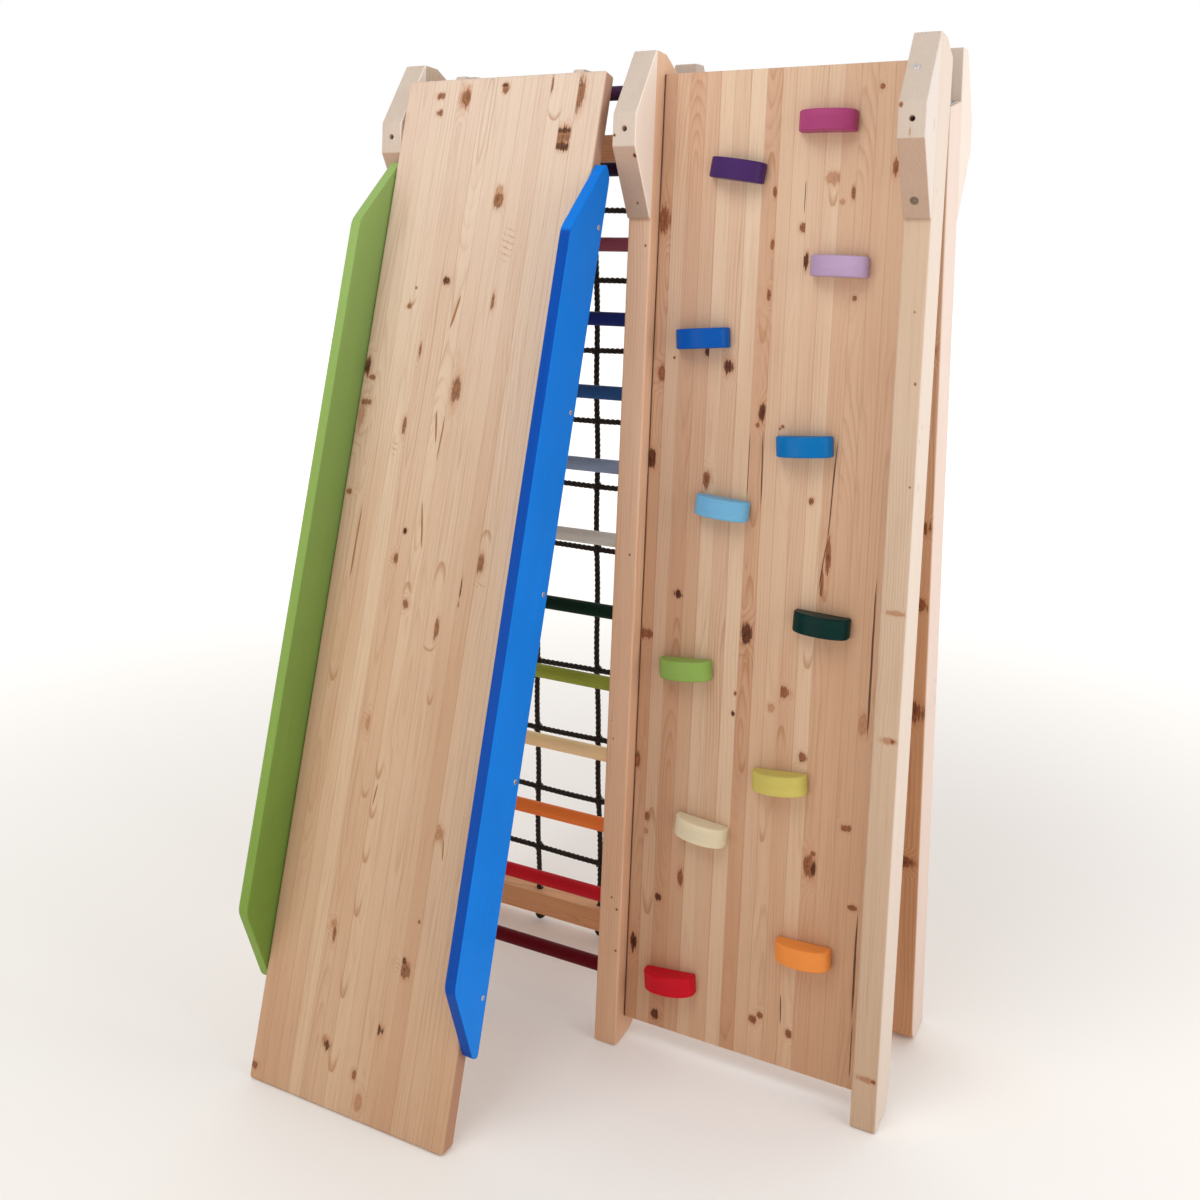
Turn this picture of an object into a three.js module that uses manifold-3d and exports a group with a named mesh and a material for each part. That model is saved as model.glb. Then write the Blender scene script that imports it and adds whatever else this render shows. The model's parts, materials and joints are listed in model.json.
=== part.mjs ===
// Folding home climbing frame: a ladder bay and a climbing-board bay side by side in the front frame,
// a rope-net bay in the back frame, a hinge line along the top and a hook-on slide in front of the ladder bay.
// Millimetres, +Z up, the climbing side faces -Y, X runs along the width. The assembly stands on Z = 0.
import * as THREE from "three";
import { mergeVertices } from "three/addons/utils/BufferGeometryUtils.js";
import Module from "manifold-3d";

const wasm = await Module();
wasm.setup();

// ---------------------------------------------------------------- driving dimensions
const GAP = 0.3; // clearance left between touching pieces
const LEAN = THREE.MathUtils.degToRad(2.98); // each frame leans towards the other by this much
const BACK_Y = 244.1; // front face of the back posts at the floor, behind the front face of the front posts
const POST_W = 40; // post face width, along X
const POST_D = 80; // post depth
const BAY = 400; // clear width between two posts
const PITCH_X = POST_W + BAY;
const POST_X = { left: -PITCH_X, mid: 0, right: PITCH_X }; // left edge of each post
const FRONT_TOP = 1640; // length of a front post along its front face
const FRONT_TOP_FLAT = 34; // flat part of its top, in front of the rear chamfer
const FRONT_TOP_REAR = 1619;
const BACK_TOP = 1545; // length of a back post along its front face
const BACK_TOP_REAR = 1558;
const FOOT_ROUND = 36; // rounding of the lower inner corner of a front foot
const BACK_FOOT_ROUND = 30;

const RUNG_COUNT = 13;
const RUNG_FIRST = 110; // height of the first rung along the frame
const RUNG_PITCH = 122.8;
const RUNG_DEPTH = 40; // rung centre, behind the front face of the posts
const RUNG_H = 24; // rung section height
const RUNG_L = 24; // rung section depth

const PANEL_FACE = 28; // climbing board's face, behind the front face of the posts
const PANEL_T = 18;
const PANEL_BOTTOM = 39.6;
const PANEL_TOP = 1608;

const BRACKET = { out: 69.8, faceLow: 1482, faceHigh: 1532, bottom: 1377, top: 1639 }; // front cheek
const BACK_BRACKET = { out: 88, faceLow: 1486, faceHigh: 1532, bottom: 1377, top: 1637, topOut: 34 };
const BOLT_HOLE = { height: 1508, r: 4, depth: 26 };

const HOLD_W = 88; // climbing hold width
const HOLD_H = 32; // climbing hold height
const HOLD_OUT = 34; // how far a hold stands off the board

const NET_D = 40; // net plane, behind the front face of the back posts
const ROPE_R = 5;
const NET_ROWS = [154, 282, 403, 544, 663, 781, 900, 1021, 1148, 1272, 1394];
const NET_COLS = [-266.6, -133.4];
const TOP_BEAM = [1476, 1521];
const BOTTOM_BEAM = [22, 67];
const BEAM_D = [22, 58];
const KNOT_R = 10;

const HINGE = { y: 166, z: 1549.6, r: 4.5, pin: 2.5, width: 36, leaf: 2 };

const SLIDE = {
  x: -254.9, // middle of its lower edge
  y: -351.2, // front of its lower edge
  lean: Math.atan2(377.6, 1602.7), // slope, from the vertical
  skew: Math.atan2(47.5, 1646.5), // it hangs slightly askew, its foot to the left
  width: 373,
  t: 30,
  length: 1646.5,
};
const RAIL = { t: 18, high: 69, low: 148, kneeLow: 268, kneeHigh: 1383, top: 1508 };
const HOOK = { t: 20, xs: [-318, -92], clear: 2.5, wall: 17 };

// ---------------------------------------------------------------- colours
const mat = (hex, roughness = 0.6, metalness = 0) =>
  new THREE.MeshStandardMaterial({ color: new THREE.Color(hex), roughness, metalness });
const pine = mat("#cfae84", 0.65);
const pinePale = mat("#dccab0", 0.65);
const rope = mat("#141210", 0.9);
const steel = mat("#b9bcc0", 0.35, 1);
const blue = mat("#0a6fd0", 0.45);
const green = mat("#86b04c", 0.45);

// ---------------------------------------------------------------- helpers
const ALONG_X = new THREE.Matrix4().makeBasis(
  new THREE.Vector3(0, 1, 0),
  new THREE.Vector3(0, 0, 1),
  new THREE.Vector3(1, 0, 0),
);
const TOWARDS_FRONT = new THREE.Matrix4().makeBasis(
  new THREE.Vector3(1, 0, 0),
  new THREE.Vector3(0, 0, 1),
  new THREE.Vector3(0, -1, 0),
);
const shapeOf = (points) => new THREE.Shape(points.map(([a, b]) => new THREE.Vector2(a, b)));
const ccw = (points) =>
  THREE.ShapeUtils.isClockWise(points.map(([a, b]) => new THREE.Vector2(a, b))) ? [...points].reverse() : points;

function extrude(points, depth, basis) {
  const g = new THREE.ExtrudeGeometry(shapeOf(ccw(points)), { depth, bevelEnabled: false, steps: 1 });
  if (basis) g.applyMatrix4(basis);
  return g;
}
// outline in (Y, Z), extruded from x0 to x1
function barX(name, points, x0, x1, material) {
  const m = new THREE.Mesh(extrude(points, x1 - x0, ALONG_X), material);
  m.name = name;
  m.position.x = x0;
  return m;
}
function solid(geometry) {
  const g = geometry.clone();
  g.deleteAttribute("normal");
  g.deleteAttribute("uv");
  const w = mergeVertices(g, 1e-4);
  return new wasm.Manifold(
    new wasm.Mesh({ numProp: 3, vertProperties: w.attributes.position.array, triVerts: new Uint32Array(w.index.array) }),
  );
}
function geometryOf(manifold) {
  const m = manifold.getMesh();
  const g = new THREE.BufferGeometry();
  const v = new Float32Array(m.numVert * 3);
  for (let i = 0; i < m.numVert; i++) v.set(m.vertProperties.subarray(i * m.numProp, i * m.numProp + 3), i * 3);
  g.setAttribute("position", new THREE.BufferAttribute(v, 3));
  g.setIndex(new THREE.BufferAttribute(new Uint32Array(m.triVerts), 1));
  g.computeVertexNormals();
  return g;
}
function cylinder(r, length, sides, axis) {
  const g = new THREE.CylinderGeometry(r, r, length, sides);
  if (axis === "x") g.rotateZ(Math.PI / 2);
  if (axis === "z") g.rotateX(Math.PI / 2);
  return g;
}
const arc = (p0, c, p1, n = 6) =>
  Array.from({ length: n + 1 }, (_, i) => {
    const t = i / n;
    return [0, 1].map((k) => (1 - t) ** 2 * p0[k] + 2 * t * (1 - t) * c[k] + t * t * p1[k]);
  });
// a closed outline with its corners rounded to the radius r
function rounded(points, r, n = 3) {
  const out = [];
  points.forEach((p, i) => {
    const a = points[(i + points.length - 1) % points.length];
    const b = points[(i + 1) % points.length];
    const la = Math.hypot(a[0] - p[0], a[1] - p[1]);
    const lb = Math.hypot(b[0] - p[0], b[1] - p[1]);
    const k = Math.min(r, la / 2.2, lb / 2.2);
    out.push(
      ...arc(
        [p[0] + ((a[0] - p[0]) * k) / la, p[1] + ((a[1] - p[1]) * k) / la],
        p,
        [p[0] + ((b[0] - p[0]) * k) / lb, p[1] + ((b[1] - p[1]) * k) / lb],
        n,
      ),
    );
  });
  return out;
}
const tanLean = Math.tan(LEAN);

// ---------------------------------------------------------------- front frame
// Its own frame: X across, Y behind the posts' front face, Z up along the posts.
const frontFrame = new THREE.Group();
frontFrame.rotation.x = -LEAN;

const soleF = (d) => d * tanLean; // the sole lies flat on the floor
const frontPost = [
  [0, 0],
  ...arc([POST_D - FOOT_ROUND, soleF(POST_D - FOOT_ROUND)], [POST_D, soleF(POST_D)], [POST_D, FOOT_ROUND + 4], 6),
  [POST_D, FRONT_TOP_REAR],
  [FRONT_TOP_FLAT, FRONT_TOP],
  [0, FRONT_TOP],
];
for (const [side, x] of Object.entries(POST_X)) {
  frontFrame.add(barX(`front_post_${side}`, frontPost, x, x + POST_W, pine));
  const cheek = barX(
    `front_bracket_${side}`,
    [
      [-GAP, BRACKET.bottom],
      [-5, BRACKET.bottom],
      [-BRACKET.out, BRACKET.faceLow],
      [-BRACKET.out, BRACKET.faceHigh],
      [-5, BRACKET.top],
      [-GAP, BRACKET.top],
    ],
    x,
    x + POST_W,
    pinePale,
  );
  const hole = cylinder(BOLT_HOLE.r, BOLT_HOLE.depth * 2, 16);
  hole.translate(POST_W / 2, -BRACKET.out, BOLT_HOLE.height);
  cheek.geometry = geometryOf(solid(cheek.geometry).subtract(solid(hole)));
  frontFrame.add(cheek);
}

// ladder bay: round rungs
const rungColours = [
  "#5a0f1c", "#b01c2c", "#d9772f", "#e3c79a", "#8a9a3c", "#10352a", "#bfc4bf", "#7d93ad", "#2f5690", "#1b2260",
  "#7d4150", "#241228", "#3d1e3a",
];
const rungSection = rounded(
  [
    [-RUNG_L / 2, -RUNG_H / 2],
    [RUNG_L / 2, -RUNG_H / 2],
    [RUNG_L / 2, RUNG_H / 2],
    [-RUNG_L / 2, RUNG_H / 2],
  ],
  RUNG_H / 2 - 0.5,
  5,
);
for (let i = 0; i < RUNG_COUNT; i++) {
  const h = RUNG_FIRST + i * RUNG_PITCH;
  frontFrame.add(
    barX(
      `rung_${String(i + 1).padStart(2, "0")}`,
      rungSection.map(([d, v]) => [d + RUNG_DEPTH, v + h]),
      -BAY + GAP,
      -GAP,
      mat(rungColours[i], 0.4),
    ),
  );
}

// climbing-board bay
const panel = new THREE.Mesh(new THREE.BoxGeometry(BAY - 2 * GAP, PANEL_T, PANEL_TOP - PANEL_BOTTOM), pine);
panel.name = "climbing_panel";
panel.position.set(POST_W + BAY / 2, PANEL_FACE + PANEL_T / 2, (PANEL_TOP + PANEL_BOTTOM) / 2);
frontFrame.add(panel);

// holds: half-moon blocks, [centre x, centre height, roll in degrees, colour]
const HOLDS = [
  ["hold_red", 125, 131, -6, "#d11226"],
  ["hold_orange", 347, 240, -2, "#ef8b2c"],
  ["hold_cream", 167, 398, 5, "#f2e3a8"],
  ["hold_yellow", 294, 505, -5, "#e8e04a"],
  ["hold_lime", 127, 658, -5, "#8cc63f"],
  ["hold_dark_green", 347, 764, 2, "#0b4a3c"],
  ["hold_light_blue", 176, 926, 4, "#7cc0ea"],
  ["hold_mid_blue", 305, 1034, -4, "#1f7ed0"],
  ["hold_royal_blue", 130, 1191, -4.5, "#1553c0"],
  ["hold_lilac", 344, 1308, 1, "#b583cc"],
  ["hold_purple", 175, 1453, 8, "#4b2a7a"],
  ["hold_magenta", 315, 1523, 0.5, "#b93390"],
];
const halfMoon = [];
const SIDE = 9; // straight part of a hold's ends, before its curved face
for (let i = 0; i <= 18; i++) {
  const t = (i / 18) * Math.PI;
  halfMoon.push([(HOLD_W / 2) * Math.cos(t), -(SIDE + (HOLD_OUT - SIDE) * Math.sin(t) ** 0.9)]);
}
halfMoon.push([-HOLD_W / 2, -GAP], [HOLD_W / 2, -GAP]);
for (const [name, x, v, roll, colour] of HOLDS) {
  const g = extrude(halfMoon, HOLD_H);
  g.translate(0, 0, -HOLD_H / 2);
  const hold = new THREE.Mesh(g, mat(colour, 0.35));
  hold.name = name;
  hold.position.set(x, PANEL_FACE, v);
  hold.rotation.y = THREE.MathUtils.degToRad(roll);
  frontFrame.add(hold);
}

// ---------------------------------------------------------------- back frame
const backFrame = new THREE.Group();
backFrame.position.y = BACK_Y;
backFrame.rotation.x = LEAN;

const soleB = (d) => -d * tanLean;
const backPost = [
  ...arc([0, BACK_FOOT_ROUND + 4], [0, soleB(0)], [BACK_FOOT_ROUND, soleB(BACK_FOOT_ROUND)], 6),
  [POST_D, soleB(POST_D)],
  [POST_D, BACK_TOP_REAR],
  [0, BACK_TOP],
];
for (const [side, x] of Object.entries(POST_X)) {
  backFrame.add(barX(`back_post_${side}`, backPost, x, x + POST_W, pine));
  const o = POST_D + BACK_BRACKET.out;
  backFrame.add(
    barX(
      `back_bracket_${side}`,
      [
        [POST_D + GAP, BACK_BRACKET.bottom],
        [POST_D + 5, BACK_BRACKET.bottom],
        [o, BACK_BRACKET.faceLow],
        [o, BACK_BRACKET.faceHigh],
        [POST_D + BACK_BRACKET.topOut, BACK_BRACKET.top],
        [POST_D + GAP, BACK_BRACKET.top],
      ],
      x,
      x + POST_W,
      pinePale,
    ),
  );
}

// beams between the back posts; the two in the net bay are drilled for the ropes
function beam(name, x0, x1, [v0, v1], columns) {
  const g = new THREE.BoxGeometry(x1 - x0 - 2 * GAP, BEAM_D[1] - BEAM_D[0], v1 - v0);
  g.translate((x0 + x1) / 2, (BEAM_D[0] + BEAM_D[1]) / 2, (v0 + v1) / 2);
  let s = solid(g);
  for (const x of columns) {
    const c = cylinder(ROPE_R + 1.5, v1 - v0 + 20, 14, "z");
    c.translate(x, NET_D, (v0 + v1) / 2);
    s = s.subtract(solid(c));
  }
  const m = new THREE.Mesh(geometryOf(s), pine);
  m.name = name;
  return m;
}
backFrame.add(beam("net_top_beam", -BAY, 0, TOP_BEAM, NET_COLS));
backFrame.add(beam("net_bottom_beam", -BAY, 0, BOTTOM_BEAM, NET_COLS));
backFrame.add(beam("right_bay_top_beam", POST_W, POST_W + BAY, TOP_BEAM, []));
backFrame.add(beam("right_bay_bottom_beam", POST_W, POST_W + BAY, BOTTOM_BEAM, []));

// rope net: crossing ropes joined at their knots, drawn through the beams and stopped by end knots
let net = null;
const join = (g) => {
  net = net ? net.add(solid(g)) : solid(g);
};
for (const v of NET_ROWS) {
  const g = cylinder(ROPE_R, BAY - 2 * GAP, 8, "x");
  g.translate(-BAY / 2, NET_D, v);
  join(g);
}
for (const x of NET_COLS) {
  const low = 6;
  const high = TOP_BEAM[1] + 12;
  const g = cylinder(ROPE_R, high - low, 8, "z");
  g.rotateZ(0.1);
  g.translate(0, 0, 0);
  g.translate(x, NET_D, (low + high) / 2);
  join(g);
  for (const v of [BOTTOM_BEAM[0] - 9, TOP_BEAM[1] + 9]) {
    const k = cylinder(KNOT_R, 14, 10, "z");
    k.translate(x, NET_D, v);
    join(k);
  }
}
const netMesh = new THREE.Mesh(geometryOf(net), rope);
netMesh.name = "rope_net";
backFrame.add(netMesh);

// ---------------------------------------------------------------- hinges along the top
// Pin axis parallel to X. One leaf lies on the rear face of a front post, the other on the end of a back post.
const hinges = new THREE.Group();
const R = HINGE.r;
const frontRearY = (z) => z * Math.tan(LEAN) + POST_D / Math.cos(LEAN); // rear face of a front post at the height z
const endSlope = LEAN + Math.atan2(BACK_TOP_REAR - BACK_TOP, POST_D);
const endPoint = [BACK_Y - BACK_TOP * Math.sin(LEAN), BACK_TOP * Math.cos(LEAN)];
const endZ = (y) => endPoint[1] + (y - endPoint[0]) * Math.tan(endSlope); // end face of a back post at the depth y
function extrudeRing(x0, x1) {
  const s = new THREE.Shape();
  s.absarc(0, 0, R, 0, Math.PI * 2, false);
  const h = new THREE.Path();
  h.absarc(0, 0, HINGE.pin + 0.1, 0, Math.PI * 2, true);
  s.holes.push(h);
  const g = new THREE.ExtrudeGeometry(s, { depth: x1 - x0, bevelEnabled: false, curveSegments: 10 });
  g.applyMatrix4(ALONG_X);
  g.translate(x0, HINGE.y, HINGE.z);
  return g;
}
function leafPlate(points, x0, x1) {
  const g = extrude(points, x1 - x0, ALONG_X);
  g.translate(x0, 0, 0);
  return g;
}
function cutPin(s, x0, x1) {
  const c = cylinder(HINGE.pin + 0.1, x1 - x0 + 10, 20, "x");
  c.translate((x0 + x1) / 2, HINGE.y, HINGE.z);
  return s.subtract(solid(c));
}
for (const [side, px] of Object.entries(POST_X)) {
  const x0 = px + (POST_W - HINGE.width) / 2;
  const third = HINGE.width / 3;
  // leaf on the front post: two outer knuckles
  const za = HINGE.z + 1;
  const zb = HINGE.z + 44;
  const ya = (z) => frontRearY(z) + GAP;
  let leaf = solid(
    leafPlate([[ya(za), za], [ya(za) + HINGE.leaf, za], [ya(zb) + HINGE.leaf, zb], [ya(zb), zb]], x0, x0 + HINGE.width),
  );
  for (const k of [0, 2])
    leaf = leaf.add(solid(extrudeRing(x0 + k * third + (k ? GAP : 0), x0 + (k + 1) * third - (k ? 0 : GAP))));
  // keep the middle of the barrel free for the other leaf's knuckle
  const room = new THREE.BoxGeometry(third + 2 * GAP, 4 * R, 2 * R + 1.2);
  room.translate(x0 + 1.5 * third, HINGE.y + 1, HINGE.z);
  leaf = cutPin(leaf.subtract(solid(room)), x0, x0 + HINGE.width);
  const front = new THREE.Mesh(geometryOf(leaf), steel);
  front.name = `hinge_front_leaf_${side}`;
  hinges.add(front);
  // leaf on the end of the back post: the middle knuckle
  const yc = HINGE.y + 2.5;
  const yd = HINGE.y + 52;
  const zc = (y) => endZ(y) + GAP;
  let plate = solid(
    leafPlate([[yc, zc(yc)], [yd, zc(yd)], [yd, zc(yd) + HINGE.leaf], [yc, zc(yc) + HINGE.leaf]], x0, x0 + HINGE.width),
  );
  for (const k of [0, 2]) {
    const cut = new THREE.BoxGeometry(third + 2 * GAP, 2 * (R + 0.8), 4 * R);
    cut.translate(x0 + (k + 0.5) * third + (k ? -GAP / 2 : GAP / 2) * 0, HINGE.y, HINGE.z);
    plate = plate.subtract(solid(cut));
  }
  plate = plate.add(solid(extrudeRing(x0 + third + GAP, x0 + 2 * third - GAP)));
  plate = cutPin(plate, x0, x0 + HINGE.width);
  const back = new THREE.Mesh(geometryOf(plate), steel);
  back.name = `hinge_back_leaf_${side}`;
  hinges.add(back);
  const pin = new THREE.Mesh(cylinder(HINGE.pin - 0.05, HINGE.width + 2, 20, "x"), steel);
  pin.name = `hinge_pin_${side}`;
  pin.position.set(x0 + HINGE.width / 2, HINGE.y, HINGE.z);
  hinges.add(pin);
}

// ---------------------------------------------------------------- slide
// Its own frame: X across, Y behind the sliding face, Z up the slope.
const slide = new THREE.Group();
slide.position.set(SLIDE.x, SLIDE.y, 0);
slide.rotation.x = -SLIDE.lean;
const askew = new THREE.Group();
askew.rotation.y = SLIDE.skew;
slide.add(askew);

const halfW = SLIDE.width / 2;
const level = (x, s) => [x, s / Math.cos(SLIDE.skew) + x * Math.tan(SLIDE.skew)]; // a point at the slope distance s
const board = extrude(
  [level(-halfW, 0), level(halfW, 0), level(halfW, SLIDE.length), level(-halfW, SLIDE.length)],
  SLIDE.t,
  TOWARDS_FRONT,
);
board.translate(0, SLIDE.t, 0);
const boardMesh = new THREE.Mesh(board, pine);
{
  const inSlide = board.clone();
  const cut = new THREE.BoxGeometry(800, 300, 200);
  cut.translate(0, 0, -100);
  // the floor plane seen from the board's own frame
  const m = new THREE.Matrix4()
    .makeRotationX(-SLIDE.lean)
    .multiply(new THREE.Matrix4().makeRotationY(SLIDE.skew))
    .invert();
  cut.applyMatrix4(m);
  boardMesh.geometry = geometryOf(solid(inSlide).subtract(solid(cut)));
}
boardMesh.name = "slide_board";
askew.add(boardMesh);

const railOutline = rounded(
  [
    [SLIDE.t, RAIL.low - 4],
    [14, RAIL.low],
    [-RAIL.high, RAIL.kneeLow],
    [-RAIL.high, RAIL.kneeHigh],
    [12, RAIL.top],
    [SLIDE.t, RAIL.top - 18],
  ],
  10,
);
askew.add(barX("slide_rail_right", railOutline, halfW + GAP, halfW + GAP + RAIL.t, blue));
askew.add(barX("slide_rail_left", railOutline, -halfW - GAP - RAIL.t, -halfW - GAP, green));

// hooks behind the board, over the top rung
const rungTop = RUNG_FIRST + (RUNG_COUNT - 1) * RUNG_PITCH;
const hy = rungTop * Math.sin(LEAN) + RUNG_DEPTH * Math.cos(LEAN);
const hz = rungTop * Math.cos(LEAN) - RUNG_DEPTH * Math.sin(LEAN);
const backY = (z) => {
  const s = (z + SLIDE.t * Math.sin(SLIDE.lean)) / Math.cos(SLIDE.lean);
  return SLIDE.y + s * Math.sin(SLIDE.lean) + SLIDE.t * Math.cos(SLIDE.lean) + 0.4;
};
const slotF = hy - RUNG_L / 2 - HOOK.clear;
const slotB = hy + RUNG_L / 2 + HOOK.clear;
const slotTop = hz + RUNG_H / 2 + 4;
const hookTop = slotTop + HOOK.wall;
const hookOutline = [
  [backY(hz - 82), hz - 82],
  [backY(hz - 82) + 22, hz - 82],
  [slotF, hz - 34],
  [slotF, slotTop - 8],
  [slotF + 8, slotTop],
  [slotB - 8, slotTop],
  [slotB, slotTop - 8],
  [slotB, hz - 22],
  [slotB + 8, hz - 30],
  [slotB + 20, hz - 22],
  [slotB + 20, hookTop - 12],
  [slotB + 8, hookTop],
  [backY(1590) + 14, hookTop],
  [backY(1590), 1590],
];
const hooks = new THREE.Group();
HOOK.xs.forEach((x, i) => hooks.add(barX(`slide_hook_${i ? "right" : "left"}`, hookOutline, x - HOOK.t / 2, x + HOOK.t / 2, pine)));

// ---------------------------------------------------------------- assembly, origin at the bottom centre
const assembly = new THREE.Group();
assembly.add(frontFrame, backFrame, hinges, slide, hooks);
assembly.updateMatrixWorld(true);
const extent = new THREE.Box3().setFromObject(assembly, true);
assembly.position.set(-(extent.min.x + extent.max.x) / 2, -(extent.min.y + extent.max.y) / 2, 0);
const root = new THREE.Group();
root.add(assembly);

export default root;
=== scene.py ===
import json
import math
import random

import bmesh
import bpy
from mathutils import Matrix, Vector


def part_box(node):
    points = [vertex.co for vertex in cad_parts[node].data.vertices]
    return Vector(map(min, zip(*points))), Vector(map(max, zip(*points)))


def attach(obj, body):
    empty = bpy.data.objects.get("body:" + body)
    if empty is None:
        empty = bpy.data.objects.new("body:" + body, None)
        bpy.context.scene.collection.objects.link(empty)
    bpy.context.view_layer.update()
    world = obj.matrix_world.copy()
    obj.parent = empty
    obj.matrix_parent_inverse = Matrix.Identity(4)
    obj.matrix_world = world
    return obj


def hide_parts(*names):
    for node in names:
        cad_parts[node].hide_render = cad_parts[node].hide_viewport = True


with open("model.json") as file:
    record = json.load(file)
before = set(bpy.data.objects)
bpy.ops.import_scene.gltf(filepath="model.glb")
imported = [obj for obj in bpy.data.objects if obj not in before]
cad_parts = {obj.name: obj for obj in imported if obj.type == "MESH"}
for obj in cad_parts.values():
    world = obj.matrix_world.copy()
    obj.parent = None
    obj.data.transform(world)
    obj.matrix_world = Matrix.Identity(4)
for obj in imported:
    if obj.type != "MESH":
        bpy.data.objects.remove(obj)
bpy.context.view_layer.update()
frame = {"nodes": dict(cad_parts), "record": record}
REC = frame["record"]
NODES = frame["nodes"]
BODY = {n: b for b, ns in REC["behaviour"]["bodies"].items() for n in ns}

# ------------------------------------------------------------------ frames shared with the CAD, in metres
LEAN = math.radians(2.98)
BACK_Y = 0.2441
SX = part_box("front_post_mid")[0][0]
JOINT = {j["name"]: j for j in REC["behaviour"]["joints"]}
SY = JOINT["frame_fold"]["pos_m"][1] - 0.166
SLIDE_LEAN = math.atan2(377.6, 1602.7)
SLIDE_SKEW = math.atan2(47.5, 1646.5)
T = Matrix.Translation
FRONT = T((SX, SY, 0)) @ Matrix.Rotation(-LEAN, 4, "X")
BACK = T((SX, SY + BACK_Y, 0)) @ Matrix.Rotation(LEAN, 4, "X")
SLIDE = T((SX - 0.2549, SY - 0.3512, 0)) @ Matrix.Rotation(-SLIDE_LEAN, 4, "X") @ Matrix.Rotation(SLIDE_SKEW, 4, "Y")
WORLD = T((SX, SY, 0))

# ------------------------------------------------------------------ camera
PHI, PITCH, ROLL = 0.4721, 0.1267, 0.0171
FOCAL, CX, CY = 1223.3824, 599.2826, 412.8839
F = Vector((-math.sin(PHI) * math.cos(PITCH), math.cos(PHI) * math.cos(PITCH), -math.sin(PITCH)))
R0 = Vector((math.cos(PHI), math.sin(PHI), 0))
U0 = R0.cross(F)
RV = math.cos(ROLL) * R0 + math.sin(ROLL) * U0
UV = -math.sin(ROLL) * R0 + math.cos(ROLL) * U0
cam_data = bpy.data.cameras.new("camera")
cam_data.sensor_fit = "HORIZONTAL"
cam_data.sensor_width = 36.0
cam_data.lens = FOCAL / 1200 * 36
cam_data.shift_x = (600 - CX) / 1200
cam_data.shift_y = (CY - 600) / 1200
cam_data.clip_start = 0.05
cam = bpy.data.objects.new("camera", cam_data)
bpy.context.scene.collection.objects.link(cam)
m = Matrix((RV, UV, -F)).transposed().to_4x4()
m.translation = Vector((0.8652976 + SX, -1.7142757 + SY, 1.3132539))
cam.matrix_world = m
bpy.context.scene.camera = cam


# ------------------------------------------------------------------ node helpers
def N(nt, kind, ins=None, **props):
    n = nt.nodes.new(kind)
    for k, v in props.items():
        setattr(n, k, v)
    for k, v in (ins or {}).items():
        s = n.inputs[k]
        if isinstance(v, bpy.types.NodeSocket):
            nt.links.new(v, s)
        else:
            s.default_value = v
    return n


def MA(nt, op, a, b=None, c=None, clamp=False):
    ins = {0: a}
    if b is not None:
        ins[1] = b
    if c is not None:
        ins[2] = c
    n = N(nt, "ShaderNodeMath", ins, operation=op)
    n.use_clamp = clamp
    return n.outputs[0]


def VM(nt, op, a, b=None, out=0):
    ins = {0: a}
    if b is not None:
        ins[1] = b
    return N(nt, "ShaderNodeVectorMath", ins, operation=op).outputs[out]


def MIX(nt, fac, a, b, blend="MIX"):
    n = N(nt, "ShaderNodeMix", data_type="RGBA", blend_type=blend)
    n.clamp_result = True
    for k, v in ((0, fac), (6, a), (7, b)):
        s = n.inputs[k]
        if isinstance(v, bpy.types.NodeSocket):
            nt.links.new(v, s)
        elif k == 0:
            s.default_value = v
        else:
            s.default_value = tuple(v) + (1,) if len(v) == 3 else v
    return n.outputs[2]


def RAMP(nt, fac, stops, interp="LINEAR"):
    n = N(nt, "ShaderNodeValToRGB", {0: fac})
    r = n.color_ramp
    r.interpolation = interp
    while len(r.elements) > 1:
        r.elements.remove(r.elements[-1])
    for i, (p, c) in enumerate(stops):
        e = r.elements[0] if i == 0 else r.elements.new(p)
        e.position = p
        c = (c, c, c) if isinstance(c, (int, float)) else c
        e.color = tuple(c) + (1,)
    return n.outputs[0]


def MAPR(nt, v, a, b, c=0.0, d=1.0, smooth=True):
    n = N(nt, "ShaderNodeMapRange", {0: v, 1: a, 2: b, 3: c, 4: d})
    n.interpolation_type = "SMOOTHSTEP" if smooth else "LINEAR"
    n.clamp = True
    return n.outputs[0]


def srgb(r, g, b):
    f = lambda v: (v / 255 / 12.92) if v / 255 <= 0.04045 else ((v / 255 + 0.055) / 1.055) ** 2.4
    return (f(r), f(g), f(b))


def new_mat(name):
    mat = bpy.data.materials.new(name)
    mat.use_nodes = True
    nt = mat.node_tree
    nt.nodes.clear()
    out = nt.nodes.new("ShaderNodeOutputMaterial")
    bsdf = nt.nodes.new("ShaderNodeBsdfPrincipled")
    nt.links.new(bsdf.outputs[0], out.inputs[0])
    return mat, nt, bsdf


# ------------------------------------------------------------------ pine
# The "loc" attribute holds each piece's own coordinates: X across the board, Y through it, Z along the grain.
# staves: (left edge, tone 0 pale to 1 warm, arch 0 straight grain to 1 arched, contrast), then the last right edge.
# knots: (x, z, rx, rz, darkness 0 faint to 2 black, axis the knot runs along); cracks: (x, z0, z1, half width, slope).
PALE, WARM, DARK = (217, 187, 157), (195, 149, 115), (160, 110, 78)


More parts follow.
